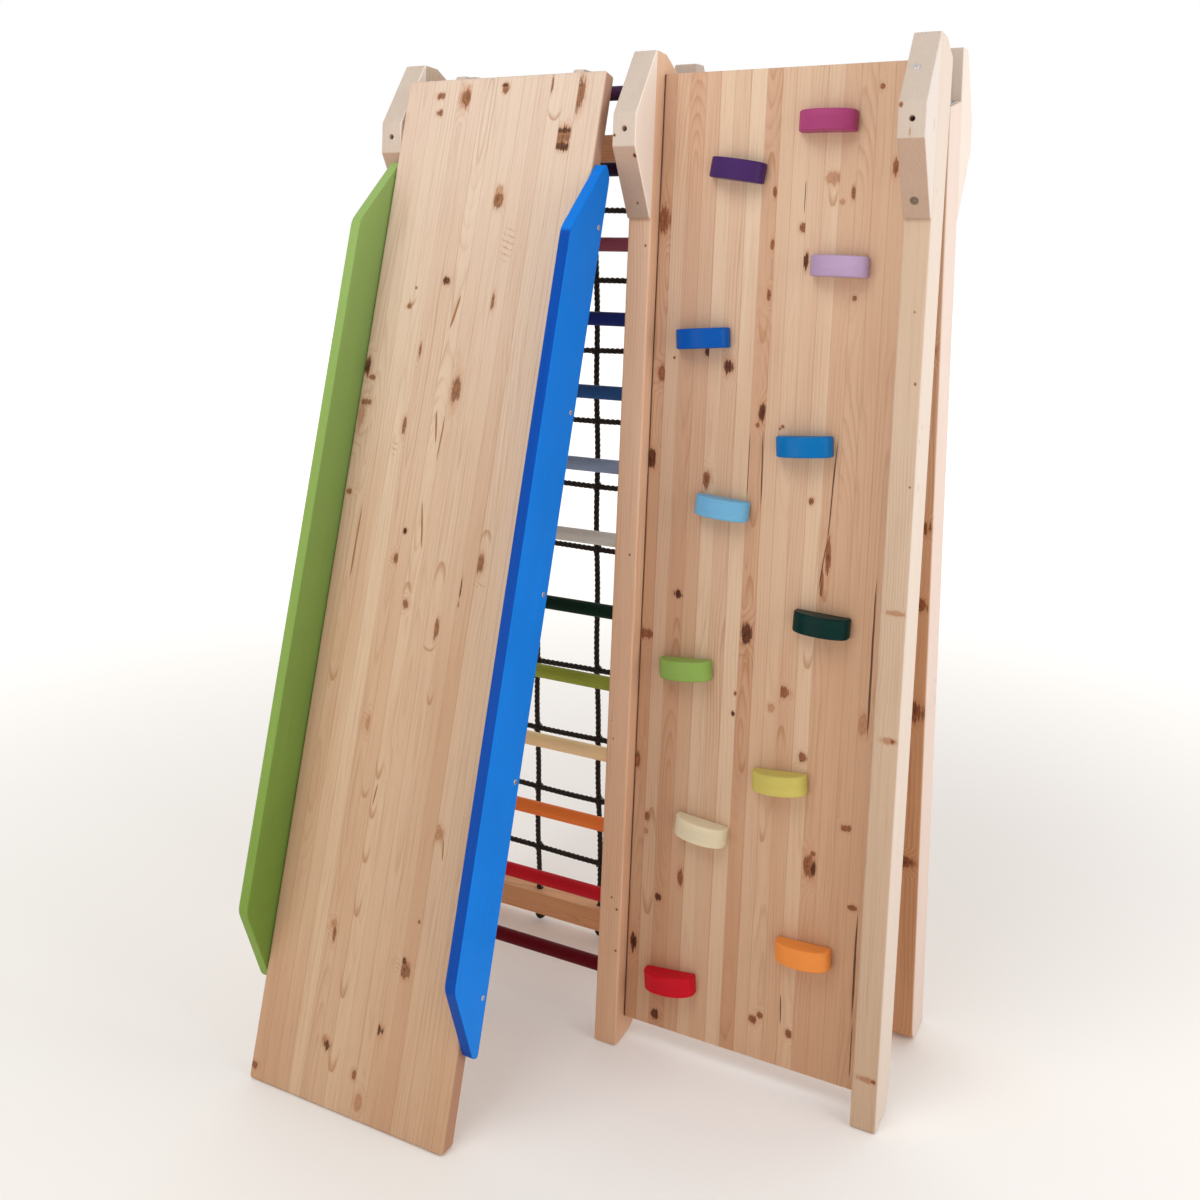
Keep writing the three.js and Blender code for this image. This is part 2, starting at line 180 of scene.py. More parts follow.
def pine(name, staves, right, seed, knots=(), cracks=(), pale=PALE, warm=WARM, dark=DARK, ring=0.0052, glue=0.3, side_light_and_shade=None, arcs=(), feathers=(), painted_light_by_height=True, underside_shade=False, gap_shadow=0.0, top_light_mix=0.40, split=(80, 46, 30), knot_tones=None):
    rnd = random.Random(seed)
    mat, nt, bsdf = new_mat(name)
    P = N(nt, "ShaderNodeAttribute", attribute_name="loc").outputs["Vector"]
    sep = N(nt, "ShaderNodeSeparateXYZ", {0: P})
    x, y, z = sep.outputs[0], sep.outputs[1], sep.outputs[2]
    edges = [st[0] for st in staves] + [right]
    lo, span = edges[0], right - edges[0]
    u = MA(nt, "DIVIDE", MA(nt, "SUBTRACT", x, lo), span)
    one = len(staves) == 1
    A, B, mids = [], [], []
    for i, st in enumerate(staves):
        mid = ((edges[i] + edges[i + 1]) / 2 - lo) / span
        mids.append((edges[i], edges[i + 1], mid))
        A.append(((edges[i] - lo) / span, (st[1], st[2], st[3])))
        B.append(((edges[i] - lo) / span, (mid, rnd.random(), rnd.random())))
    if one:
        tone, arch, cont = (N(nt, "ShaderNodeValue") for _ in range(3))
        for n, v in zip((tone, arch, cont), staves[0][1:]):
            n.outputs[0].default_value = v
        tone, arch, cont = tone.outputs[0], arch.outputs[0], cont.outputs[0]
        mid = r1 = r2 = None
        centre = (edges[0] + edges[1]) / 2
        k1, k2 = rnd.random(), rnd.random()
    else:
        ra = N(nt, "ShaderNodeSeparateColor", {0: RAMP(nt, u, A, "CONSTANT")})
        rb = N(nt, "ShaderNodeSeparateColor", {0: RAMP(nt, u, B, "CONSTANT")})
        tone, arch, cont = ra.outputs
        mid, r1, r2 = rb.outputs

    def knot_field(sel):
        best = None
        for k in sel:
            kx, kz, rx, rz = k[:4]
            through = k[5] if len(k) > 5 else "y"
            if through == "y":
                v = VM(nt, "MULTIPLY", VM(nt, "SUBTRACT", P, (kx, 0, kz)), (1 / rx, 0, 1 / rz))
            else:
                v = VM(nt, "MULTIPLY", VM(nt, "SUBTRACT", P, (0, kx, kz)), (0, 1 / rx, 1 / rz))
            d = VM(nt, "LENGTH", v, out=1)
            if through == "y" and not one:
                kid = next((c for p, q, c in mids if p <= kx < q), mids[-1][2])
                same = N(nt, "ShaderNodeMath", {0: mid, 1: kid, 2: 0.012}, operation="COMPARE").outputs[0]
                d = MA(nt, "ADD", d, MA(nt, "MULTIPLY", MA(nt, "SUBTRACT", 1.0, same), 6.0))
            if through == "x":
                d = MA(nt, "ADD", d, MAPR(nt, MA(nt, "ABSOLUTE", x), 0.0170, 0.0196, 2.5, 0.0))
            best = d if best is None else N(nt, "ShaderNodeMath", {0: best, 1: d}, operation="MINIMUM").outputs[0]
        return best

    groups = [knot_field([k for k in knots if k[4] == g]) for g in (0, 1, 2)]
    every = None
    for g in groups:
        if g is not None:
            every = g if every is None else N(nt, "ShaderNodeMath", {0: every, 1: g}, operation="MINIMUM").outputs[0]

    seedv = ((seed * 0.37) % 3, (seed * 0.73) % 5, (seed * 1.13) % 7)
    w1 = N(nt, "ShaderNodeTexNoise", {"Vector": VM(nt, "ADD", VM(nt, "MULTIPLY", P, (10, 10, 2.2)), seedv), "Scale": 1.0, "Detail": 3.0, "Roughness": 0.5}).outputs[0]
    w2 = N(nt, "ShaderNodeTexNoise", {"Vector": VM(nt, "ADD", VM(nt, "MULTIPLY", P, (70, 70, 9)), seedv), "Scale": 1.0, "Detail": 3.0, "Roughness": 0.55}).outputs[0]
    # each stave has a pith of its own, whose depth under the face wanders along the grain: that draws the arches
    if one:
        cx = MA(nt, "SUBTRACT", x, centre + (k1 - 0.5) * 0.02)
        zn = N(nt, "ShaderNodeTexNoise", {"Vector": VM(nt, "MULTIPLY", VM(nt, "ADD", P, (seed * 1.7, 0, 0)), (0, 0, 1.7)), "Scale": 1.0, "Detail": 1.0}).outputs[0]
        far = MA(nt, "MULTIPLY", MA(nt, "SUBTRACT", 1.0, arch), 0.05)
    else:
        cx = MA(nt, "SUBTRACT", x, MA(nt, "MULTIPLY_ADD", mid, span, lo))
        cx = MA(nt, "SUBTRACT", cx, MA(nt, "MULTIPLY_ADD", r1, 0.016, -0.008))
        cz = N(nt, "ShaderNodeCombineXYZ", {0: MA(nt, "MULTIPLY", mid, 91.0), 1: seedv[0], 2: MA(nt, "MULTIPLY", z, 1.9)})
        zn = N(nt, "ShaderNodeTexNoise", {"Vector": cz.outputs[0], "Scale": 1.0, "Detail": 1.0}).outputs[0]
        far = MA(nt, "MULTIPLY", MA(nt, "SUBTRACT", 1.0, arch), MA(nt, "MULTIPLY_ADD", r2, 0.08, -0.04))
    px = MA(nt, "ADD", MA(nt, "ADD", cx, far), MA(nt, "MULTIPLY", MA(nt, "SUBTRACT", w1, 0.5), 0.022))
    depth = MA(nt, "MULTIPLY", MA(nt, "SUBTRACT", zn, 0.5), MA(nt, "MULTIPLY_ADD", arch, 0.17, 0.012))
    py = MA(nt, "ADD", MA(nt, "ADD", y, 0.012), depth)
    rad = MA(nt, "SQRT", MA(nt, "ADD", MA(nt, "MULTIPLY", px, px), MA(nt, "MULTIPLY", py, py)))
    q = MA(nt, "ADD", MA(nt, "DIVIDE", rad, ring), MA(nt, "MULTIPLY", MA(nt, "SUBTRACT", w2, 0.5), 0.9))
    if every is not None:
        q = MA(nt, "ADD", q, MAPR(nt, every, 0.5, 3.4, 2.3, 0.0))
    fr = MA(nt, "FRACT", q)
    late = RAMP(nt, fr, [(0.0, 0.10), (0.3, 0.04), (0.62, 0.35), (0.84, 1.0), (0.93, 0.75), (1.0, 0.10)], "EASE")
    fade = N(nt, "ShaderNodeTexNoise", {"Vector": VM(nt, "ADD", VM(nt, "MULTIPLY", P, (22, 22, 2.6)), seedv), "Scale": 1.0, "Detail": 2.0}).outputs[0]
    late_f = MA(nt, "MULTIPLY", MA(nt, "MULTIPLY", late, MAPR(nt, fade, 0.37, 0.66, 0.06, 1.0)), cont)
    st = N(nt, "ShaderNodeTexNoise", {"Vector": VM(nt, "ADD", VM(nt, "MULTIPLY", P, (330, 330, 6.5)), seedv), "Scale": 1.0, "Detail": 4.0, "Roughness": 0.6}).outputs[0]
    pore = N(nt, "ShaderNodeTexNoise", {"Vector": VM(nt, "ADD", VM(nt, "MULTIPLY", P, (900, 900, 30)), seedv), "Scale": 1.0, "Detail": 2.0}).outputs[0]

    cp, cw, cd = srgb(*pale), srgb(*warm), srgb(*dark)
    col = MIX(nt, tone, cp, cw)
    blot = N(nt, "ShaderNodeTexNoise", {"Vector": VM(nt, "ADD", VM(nt, "MULTIPLY", P, (14, 14, 1.6)), seedv), "Scale": 1.0, "Detail": 2.0}).outputs[0]
    col = MIX(nt, MAPR(nt, blot, 0.46, 0.72, 0.0, 0.45), col, cw)
    col = MIX(nt, MAPR(nt, blot, 0.48, 0.28, 0.0, 0.35), col, cp)
    # painted light: the upper part is mixed towards a pale tint, as if lit more strongly from above
    if painted_light_by_height:
        col = MIX(nt, MAPR(nt, z, 0.7, 1.65, 0.0, top_light_mix, smooth=False), col, srgb(222, 204, 190))
    col = MIX(nt, MA(nt, "MULTIPLY", late_f, 0.50), col, cd)
    col = MIX(nt, MAPR(nt, st, 0.48, 0.76, 0.0, 0.24), col, cd)
    col = MIX(nt, MAPR(nt, pore, 0.58, 0.72, 0.0, 0.12), col, cd)
    if not one:
        edge = None
        for e in edges[1:-1]:
            d = MA(nt, "ABSOLUTE", MA(nt, "SUBTRACT", x, e))
            edge = d if edge is None else N(nt, "ShaderNodeMath", {0: edge, 1: d}, operation="MINIMUM").outputs[0]
        col = MIX(nt, MAPR(nt, edge, 0.0002, 0.0010, glue, 0.0), col, srgb(150, 104, 74))
    if gap_shadow:  # painted shadow: a dark line in the gap where the board's left edge meets the post
        col = MIX(nt, MAPR(nt, MA(nt, "ADD", MA(nt, "SUBTRACT", x, lo), MA(nt, "MULTIPLY", MA(nt, "SUBTRACT", w2, 0.5), 0.0012)), 0.0014, 0.0042, gap_shadow, 0.0), col, srgb(92, 52, 34))
    height = MA(nt, "ADD", MA(nt, "MULTIPLY", late_f, 0.5), MA(nt, "MULTIPLY", st, 0.5))
    dn = N(nt, "ShaderNodeTexNoise", {"Vector": VM(nt, "MULTIPLY", P, (120, 120, 62)), "Scale": 1.0, "Detail": 4.0, "Roughness": 0.68}).outputs[0]
    tones = knot_tones or (
        (0.62, (184, 130, 92), (168, 110, 74), (130, 80, 52)),
        (0.92, (156, 94, 58), (124, 68, 40), (82, 42, 24)),
        (1.0, (116, 62, 36), (80, 38, 22), (44, 22, 14)),
    )
    for g, (amount, c1, c2, c3) in zip(groups, tones):
        if g is None:
            continue
        rough_edge = MA(nt, "ADD", MA(nt, "MULTIPLY_ADD", dn, 2.3, -1.15), MA(nt, "MULTIPLY_ADD", st, 1.9, -0.95))
        dd = MA(nt, "ADD", g, rough_edge)
        col = MIX(nt, MAPR(nt, dd, 0.9, 2.3, 0.42 * amount, 0.0), col, srgb(182, 124, 84))
        body = MIX(nt, MAPR(nt, MA(nt, "ADD", dn, MA(nt, "MULTIPLY", dd, 0.12)), 0.42, 0.66, 0.0, 1.0), srgb(*c2), srgb(*c1))
        body = MIX(nt, MAPR(nt, MA(nt, "SINE", MA(nt, "MULTIPLY", g, 17.0)), 0.1, 1.0, 0.0, 0.4), body, srgb(*c2))
        body = MIX(nt, MAPR(nt, dd, -0.2, 0.45, 0.75, 0.0), body, srgb(*c3))
        col = MIX(nt, MAPR(nt, dd, 0.70, 1.25, amount, 0.0), col, body)
        rim = MA(nt, "MULTIPLY", MAPR(nt, dd, 0.55, 0.85, 0.0, 1.0), MAPR(nt, dd, 0.95, 1.25, 1.0, 0.0))
        rim = MA(nt, "MULTIPLY", rim, MAPR(nt, dn, 0.40, 0.58, 0.15, 1.0))
        col = MIX(nt, MA(nt, "MULTIPLY", rim, 0.75 * amount), col, srgb(*c3))
        height = MA(nt, "SUBTRACT", height, MA(nt, "MULTIPLY", rim, amount))
    for cxx, z0, z1, w, slope in cracks:
        off = MA(nt, "SUBTRACT", x, MA(nt, "MULTIPLY_ADD", MA(nt, "SUBTRACT", z, (z0 + z1) / 2), slope, cxx))
        off = MA(nt, "ABSOLUTE", MA(nt, "ADD", off, MA(nt, "MULTIPLY", MA(nt, "SUBTRACT", w2, 0.5), 0.004)))
        half = (z1 - z0) / 2
        along = MA(nt, "DIVIDE", MA(nt, "ABSOLUTE", MA(nt, "SUBTRACT", z, (z0 + z1) / 2)), half)
        off = MA(nt, "ADD", off, MA(nt, "MULTIPLY", MA(nt, "POWER", along, 4.0), w))
        mk = MAPR(nt, off, w * 0.45, w * 1.15, 0.92, 0.0)
        col = MIX(nt, mk, col, srgb(*split))
        height = MA(nt, "SUBTRACT", height, mk)
    for ax, az, w, h, th in arcs:  # one late-wood line bent to a U: its tip at (ax, az), arms w out and h up
        dx = MA(nt, "DIVIDE", MA(nt, "SUBTRACT", x, ax), w)
        cur = MA(nt, "SUBTRACT", MA(nt, "SUBTRACT", z, az), MA(nt, "MULTIPLY", MA(nt, "MULTIPLY", dx, dx), h))
        cur = MA(nt, "ADD", cur, MA(nt, "MULTIPLY", MA(nt, "SUBTRACT", w2, 0.5), 0.006))
        steep = MA(nt, "MULTIPLY_ADD", MA(nt, "ABSOLUTE", dx), 2 * abs(h) / w, 1.0)
        ln = MAPR(nt, MA(nt, "DIVIDE", MA(nt, "ABSOLUTE", cur), steep), th * 0.3, th * 1.3, 0.62, 0.0)
        inside = MAPR(nt, MA(nt, "MULTIPLY", cur, math.copysign(1.0, h)), 0.0, abs(h) * 0.45, 0.55, 0.0)
        inside = MA(nt, "MULTIPLY", inside, MAPR(nt, MA(nt, "MULTIPLY", cur, math.copysign(1.0, h)), -0.0005, 0.0005, 0.0, 1.0))
        lim = MAPR(nt, MA(nt, "ABSOLUTE", dx), 0.35, 1.0, 1.0, 0.0)
        col = MIX(nt, MA(nt, "MULTIPLY", N(nt, "ShaderNodeMath", {0: ln, 1: inside}, operation="MAXIMUM").outputs[0], lim), col, srgb(166, 116, 76))
    for fx, fz, rx, rz, per in feathers:  # short strokes of crossed grain beside a knot
        v = VM(nt, "LENGTH", VM(nt, "MULTIPLY", VM(nt, "SUBTRACT", P, (fx, 0, fz)), (1 / rx, 0, 1 / rz)), out=1)
        ph = MA(nt, "DIVIDE", MA(nt, "ADD", z, MA(nt, "MULTIPLY_ADD", w2, 0.010, MA(nt, "MULTIPLY", MA(nt, "SUBTRACT", x, fx), 0.35))), per)
        wv = MAPR(nt, MA(nt, "SINE", MA(nt, "MULTIPLY", ph, 6.2832)), 0.2, 1.0, 0.0, 0.55)
        col = MIX(nt, MA(nt, "MULTIPLY", MA(nt, "MULTIPLY", wv, MAPR(nt, dn, 0.40, 0.56, 0.2, 1.0)), MAPR(nt, v, 0.3, 1.0, 1.0, 0.0)), col, srgb(166, 114, 78))
    if painted_light_by_height:  # painted shade: the lower end is darker and warmer
        col = MIX(nt, MAPR(nt, z, 0.0, 1.1, 0.66, 0.0, smooth=False), col, (0.90, 0.80, 0.72), "MULTIPLY")
    if underside_shade:  # painted shade: the slants that look down are darker and warmer
        nz = N(nt, "ShaderNodeSeparateXYZ", {0: N(nt, "ShaderNodeTexCoord").outputs["Normal"]}).outputs[2]
        col = MIX(nt, MAPR(nt, nz, -0.15, -0.45, 0.0, 1.0), col, (0.84, 0.70, 0.62), "MULTIPLY")
    # painted light and shade on the right side face: paler on the posts and brackets, where the side light falls, and
    # darker on the slide's shaded edge
    if side_light_and_shade:
        side = MAPR(nt, x, right - 0.0022, right - 0.0006, 0.0, side_light_and_shade[3])
        col = MIX(nt, side, col, srgb(*side_light_and_shade[:3]))
    nt.links.new(col, bsdf.inputs["Base Color"])
    nt.links.new(MAPR(nt, st, 0.2, 0.8, 0.5, 0.66, smooth=False), bsdf.inputs["Roughness"])
    bsdf.inputs["Specular IOR Level"].default_value = 0.2
    b = N(nt, "ShaderNodeBump", {"Strength": 0.3, "Distance": 0.0005, "Height": height})
    nt.links.new(b.outputs[0], bsdf.inputs["Normal"])
    return mat


# ------------------------------------------------------------------ lacquered wood
def lacquer(name, rgb, along="x", seed=0, rough=0.36, grain=1.0, edge=None, top=None):
    mat, nt, bsdf = new_mat(name)
    P = N(nt, "ShaderNodeAttribute", attribute_name="loc").outputs["Vector"]
    sc = {"x": (7, 260, 260), "z": (260, 260, 7), "y": (260, 7, 260)}[along]
    sc2 = {"x": (3, 40, 40), "z": (40, 40, 3), "y": (40, 3, 40)}[along]
    c = srgb(*rgb)
    hi = tuple(min(1, v * 1.25 + 0.006) for v in c)
    lo = tuple(v * 0.72 for v in c)
    off = (seed * 1.37 % 11, seed * 0.71 % 5, seed * 2.3 % 7)
    g1 = N(nt, "ShaderNodeTexNoise", {"Vector": VM(nt, "ADD", VM(nt, "MULTIPLY", P, sc), off), "Scale": 1.0, "Detail": 4.0, "Roughness": 0.6}).outputs[0]
    g2 = N(nt, "ShaderNodeTexNoise", {"Vector": VM(nt, "ADD", VM(nt, "MULTIPLY", P, sc2), off), "Scale": 1.0, "Detail": 3.0}).outputs[0]
    g3 = N(nt, "ShaderNodeTexNoise", {"Vector": VM(nt, "ADD", VM(nt, "MULTIPLY", P, (9, 9, 9)), off), "Scale": 1.0, "Detail": 2.0}).outputs[0]
    col = MIX(nt, MAPR(nt, g1, 0.45, 0.75, 0.0, 0.30 * grain), c, lo)
    col = MIX(nt, MAPR(nt, g2, 0.5, 0.75, 0.0, 0.30), col, hi)
    col = MIX(nt, MAPR(nt, g3, 0.35, 0.7, 0.0, 0.22), col, lo)
    if top:  # painted light and shade: shifted towards another tint towards the top, lighter on the green rail and darker on the blue
        zz = N(nt, "ShaderNodeSeparateXYZ", {0: P}).outputs[2]
        col = MIX(nt, MAPR(nt, zz, 0.3, 1.45, 0.0, 0.75, smooth=False), col, srgb(*top))
    if edge:  # the narrow front edge and lower slant are a darker blue
        nrm = N(nt, "ShaderNodeSeparateXYZ", {0: N(nt, "ShaderNodeTexCoord").outputs["Normal"]})
        em = MA(nt, "MULTIPLY", MAPR(nt, nrm.outputs[1], -0.75, -0.45, 1.0, 0.0), MAPR(nt, nrm.outputs[2], 0.32, 0.55, 1.0, 0.0))
        col = MIX(nt, em, col, MIX(nt, MAPR(nt, g1, 0.4, 0.7, 0, 0.5), srgb(*edge), tuple(v * 0.8 for v in srgb(*edge))))
    # small scuffs where feet and hands rub
    sc3 = N(nt, "ShaderNodeTexNoise", {"Vector": VM(nt, "MULTIPLY", P, (120, 120, 120)), "Scale": 1.0, "Detail": 3.0, "Roughness": 0.7}).outputs[0]
    rub = MA(nt, "MULTIPLY", MAPR(nt, sc3, 0.66, 0.76, 0.0, 0.35), MAPR(nt, g3, 0.5, 0.65, 0.0, 1.0))
    col = MIX(nt, rub, col, tuple(min(1, v * 1.5 + 0.08) for v in c))
    nt.links.new(col, bsdf.inputs["Base Color"])
    nt.links.new(MAPR(nt, g2, 0.2, 0.8, rough - 0.07, rough + 0.1, smooth=False), bsdf.inputs["Roughness"])
    bsdf.inputs["Specular IOR Level"].default_value = 0.09
    h = MA(nt, "ADD", MA(nt, "MULTIPLY", g1, 0.7), MA(nt, "MULTIPLY", sc3, 0.25))
    b = N(nt, "ShaderNodeBump", {"Strength": 0.28, "Distance": 0.0004, "Height": h})
    nt.links.new(b.outputs[0], bsdf.inputs["Normal"])
    return mat


def steel(name, rgb=(186, 188, 192), rough=0.32):
    mat, nt, bsdf = new_mat(name)
    P = N(nt, "ShaderNodeAttribute", attribute_name="loc").outputs["Vector"]
    n1 = N(nt, "ShaderNodeTexNoise", {"Vector": VM(nt, "MULTIPLY", P, (900, 160, 900)), "Scale": 1.0, "Detail": 4.0}).outputs[0]
    n2 = N(nt, "ShaderNodeTexNoise", {"Vector": VM(nt, "MULTIPLY", P, (60, 60, 60)), "Scale": 1.0, "Detail": 3.0}).outputs[0]
    c = srgb(*rgb)
    col = MIX(nt, MAPR(nt, n2, 0.4, 0.7, 0, 0.5), c, tuple(v * 0.62 for v in c))
    nt.links.new(col, bsdf.inputs["Base Color"])
    bsdf.inputs["Metallic"].default_value = 1.0
    nt.links.new(MAPR(nt, n1, 0.3, 0.7, rough - 0.08, rough + 0.14, smooth=False), bsdf.inputs["Roughness"])
    b = N(nt, "ShaderNodeBump", {"Strength": 0.15, "Distance": 0.0002, "Height": n1})
    nt.links.new(b.outputs[0], bsdf.inputs["Normal"])
    return mat


def rope_mat(name):
    mat, nt, bsdf = new_mat(name)
    P = N(nt, "ShaderNodeAttribute", attribute_name="loc").outputs["Vector"]
    n1 = N(nt, "ShaderNodeTexNoise", {"Vector": VM(nt, "MULTIPLY", P, (1400, 1400, 1400)), "Scale": 1.0, "Detail": 3.0}).outputs[0]
    n2 = N(nt, "ShaderNodeTexNoise", {"Vector": VM(nt, "MULTIPLY", P, (90, 90, 90)), "Scale": 1.0, "Detail": 2.0}).outputs[0]
    col = MIX(nt, MAPR(nt, n1, 0.4, 0.7, 0, 1), srgb(22, 19, 18), srgb(52, 46, 42))
    col = MIX(nt, MAPR(nt, n2, 0.4, 0.7, 0, 0.4), col, srgb(14, 12, 14))
    nt.links.new(col, bsdf.inputs["Base Color"])
    bsdf.inputs["Roughness"].default_value = 0.82
    bsdf.inputs["Specular IOR Level"].default_value = 0.25
    bsdf.inputs["Sheen Weight"].default_value = 0.25
    bsdf.inputs["Sheen Roughness"].default_value = 0.5
    b = N(nt, "ShaderNodeBump", {"Strength": 0.5, "Distance": 0.0004, "Height": n1})
    nt.links.new(b.outputs[0], bsdf.inputs["Normal"])
    return mat


# ------------------------------------------------------------------ mesh helpers
def link(obj):
    bpy.context.scene.collection.objects.link(obj)
    return obj


def bake_mods(obj):
    bpy.context.view_layer.update()
    dg = bpy.context.evaluated_depsgraph_get()
    me = bpy.data.meshes.new_from_object(obj.evaluated_get(dg), preserve_all_data_layers=True, depsgraph=dg)
    old = obj.data
    obj.modifiers.clear()
    obj.data = me
    if old.users == 0:
        bpy.data.meshes.remove(old)
    return obj


def soften(obj, w, seg=3, angle=28, smooth=40):
    if w:
        b = obj.modifiers.new("b", "BEVEL")
        b.width = w
        b.segments = seg
        b.limit_method = "ANGLE"
        b.angle_limit = math.radians(angle)
        b.use_clamp_overlap = True
        b.harden_normals = False
        bake_mods(obj)
    for p in obj.data.polygons:
        p.use_smooth = True
    obj.data.set_sharp_from_angle(angle=math.radians(smooth))
    wn = obj.modifiers.new("wn", "WEIGHTED_NORMAL")
    wn.keep_sharp = True
    wn.weight = 80
    bake_mods(obj)
    return obj


def from_node(node, name, frame_m, origin=(0, 0, 0)):
    """A new piece with the CAD node's shape, its coplanar facets joined, in the local frame frame_m moved to origin."""
    world = frame_m @ T(origin)
    me = NODES[node].data.copy()
    me.transform(world.inverted())
    bm = bmesh.new()
    bm.from_mesh(me)
    bmesh.ops.remove_doubles(bm, verts=bm.verts, dist=2e-6)
    bmesh.ops.dissolve_limit(bm, angle_limit=math.radians(1.2), verts=bm.verts, edges=bm.edges)
    bmesh.ops.recalc_face_normals(bm, faces=bm.faces)
    bm.to_mesh(me)
    bm.free()
    me.materials.clear()
    o = link(bpy.data.objects.new(name, me))
    o.matrix_world = world
    return o


def mesh_obj(name, verts, faces, frame_m, origin=(0, 0, 0)):
    me = bpy.data.meshes.new(name)
    me.from_pydata([tuple(v) for v in verts], [], faces)
    bm = bmesh.new()
    bm.from_mesh(me)
    bmesh.ops.recalc_face_normals(bm, faces=bm.faces)
    bm.to_mesh(me)
    bm.free()
    o = link(bpy.data.objects.new(name, me))
    o.matrix_world = frame_m @ T(origin)
    return o


def prism(outline, depth, axis, start=0.0):
    """Closed outline swept along an axis: the outline's two coordinates fill the other two axes."""
    n = len(outline)
    put = {
        "x": lambda a, b, t: (t, a, b),
        "y": lambda a, b, t: (a, t, b),
        "z": lambda a, b, t: (a, b, t),
    }[axis]
    v = [put(a, b, start) for a, b in outline] + [put(a, b, start + depth) for a, b in outline]
    f = [list(range(n)), list(range(2 * n - 1, n - 1, -1))]
    f += [[i, (i + 1) % n, n + (i + 1) % n, n + i] for i in range(n)]
    return v, f


def settle(obj):
    """Keeps each vertex's place in the piece's own frame as the "loc" attribute, then moves the place into the mesh."""
    me = obj.data
    co = [0.0] * (3 * len(me.vertices))
    me.vertices.foreach_get("co", co)
    me.attributes.new("loc", "FLOAT_VECTOR", "POINT").data.foreach_set("vector", co)
    me.transform(obj.matrix_world)
    obj.matrix_world = Matrix.Identity(4)
    me.update()


def done(obj, mat, node=None, body=None):
    settle(obj)
    obj.data.materials.clear()
    obj.data.materials.append(mat)
    body = body or BODY[node]
    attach(obj, body)
    if node:
        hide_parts(node)
    return obj


# ------------------------------------------------------------------ posts and brackets
POST_X = {"left": -0.440, "mid": 0.0, "right": 0.440}


def spots(seed, count, x, z, through="y", big=0.006, dark=(0, 1)):
    rnd = random.Random(seed)
    out = []
    for _ in range(count):
        r = rnd.uniform(0.3, 1.0) * big
        out.append((rnd.uniform(*x), rnd.uniform(*z), r, r * rnd.uniform(0.9, 1.5), rnd.choice(dark), through))
    return out


POST_PALE, POST_WARM, POST_DARK = (210, 188, 164), (194, 160, 130), (164, 122, 92)
# the middle post's pine is a brighter copy of the posts' wood, to make up for the slide's shadow on it: painted light
MID_PALE, MID_WARM, MID_DARK = (236, 202, 172), (220, 174, 140), (184, 134, 102)
BACK_PALE, BACK_WARM, BACK_DARK = (222, 180, 142), (204, 152, 112), (164, 106, 68)
BRACKET_PALE, BRACKET_WARM, BRACKET_DARK = (205, 190, 178), (194, 173, 154), (170, 143, 120)
FACE_KNOTS = {
    "left": [(0.004, 0.62, 0.012, 0.005, 0), (-0.006, 1.1, 0.01, 0.004, 0)],
    "mid": [(0.012, 0.236, 0.0016, 0.0018, 2), (0.002, 0.255, 0.0014, 0.0016, 1), (0.013, 0.165, 0.0015, 0.0016, 1)],
    "right": [(0.002, 0.082, 0.012, 0.004, 0), (0.012, 0.082, 0.003, 0.003, 1), (0.004, 0.610, 0.011, 0.004, 0), (0.010, 0.610, 0.003, 0.003, 1), (0.002, 0.802, 0.011, 0.0035, 0)],
}
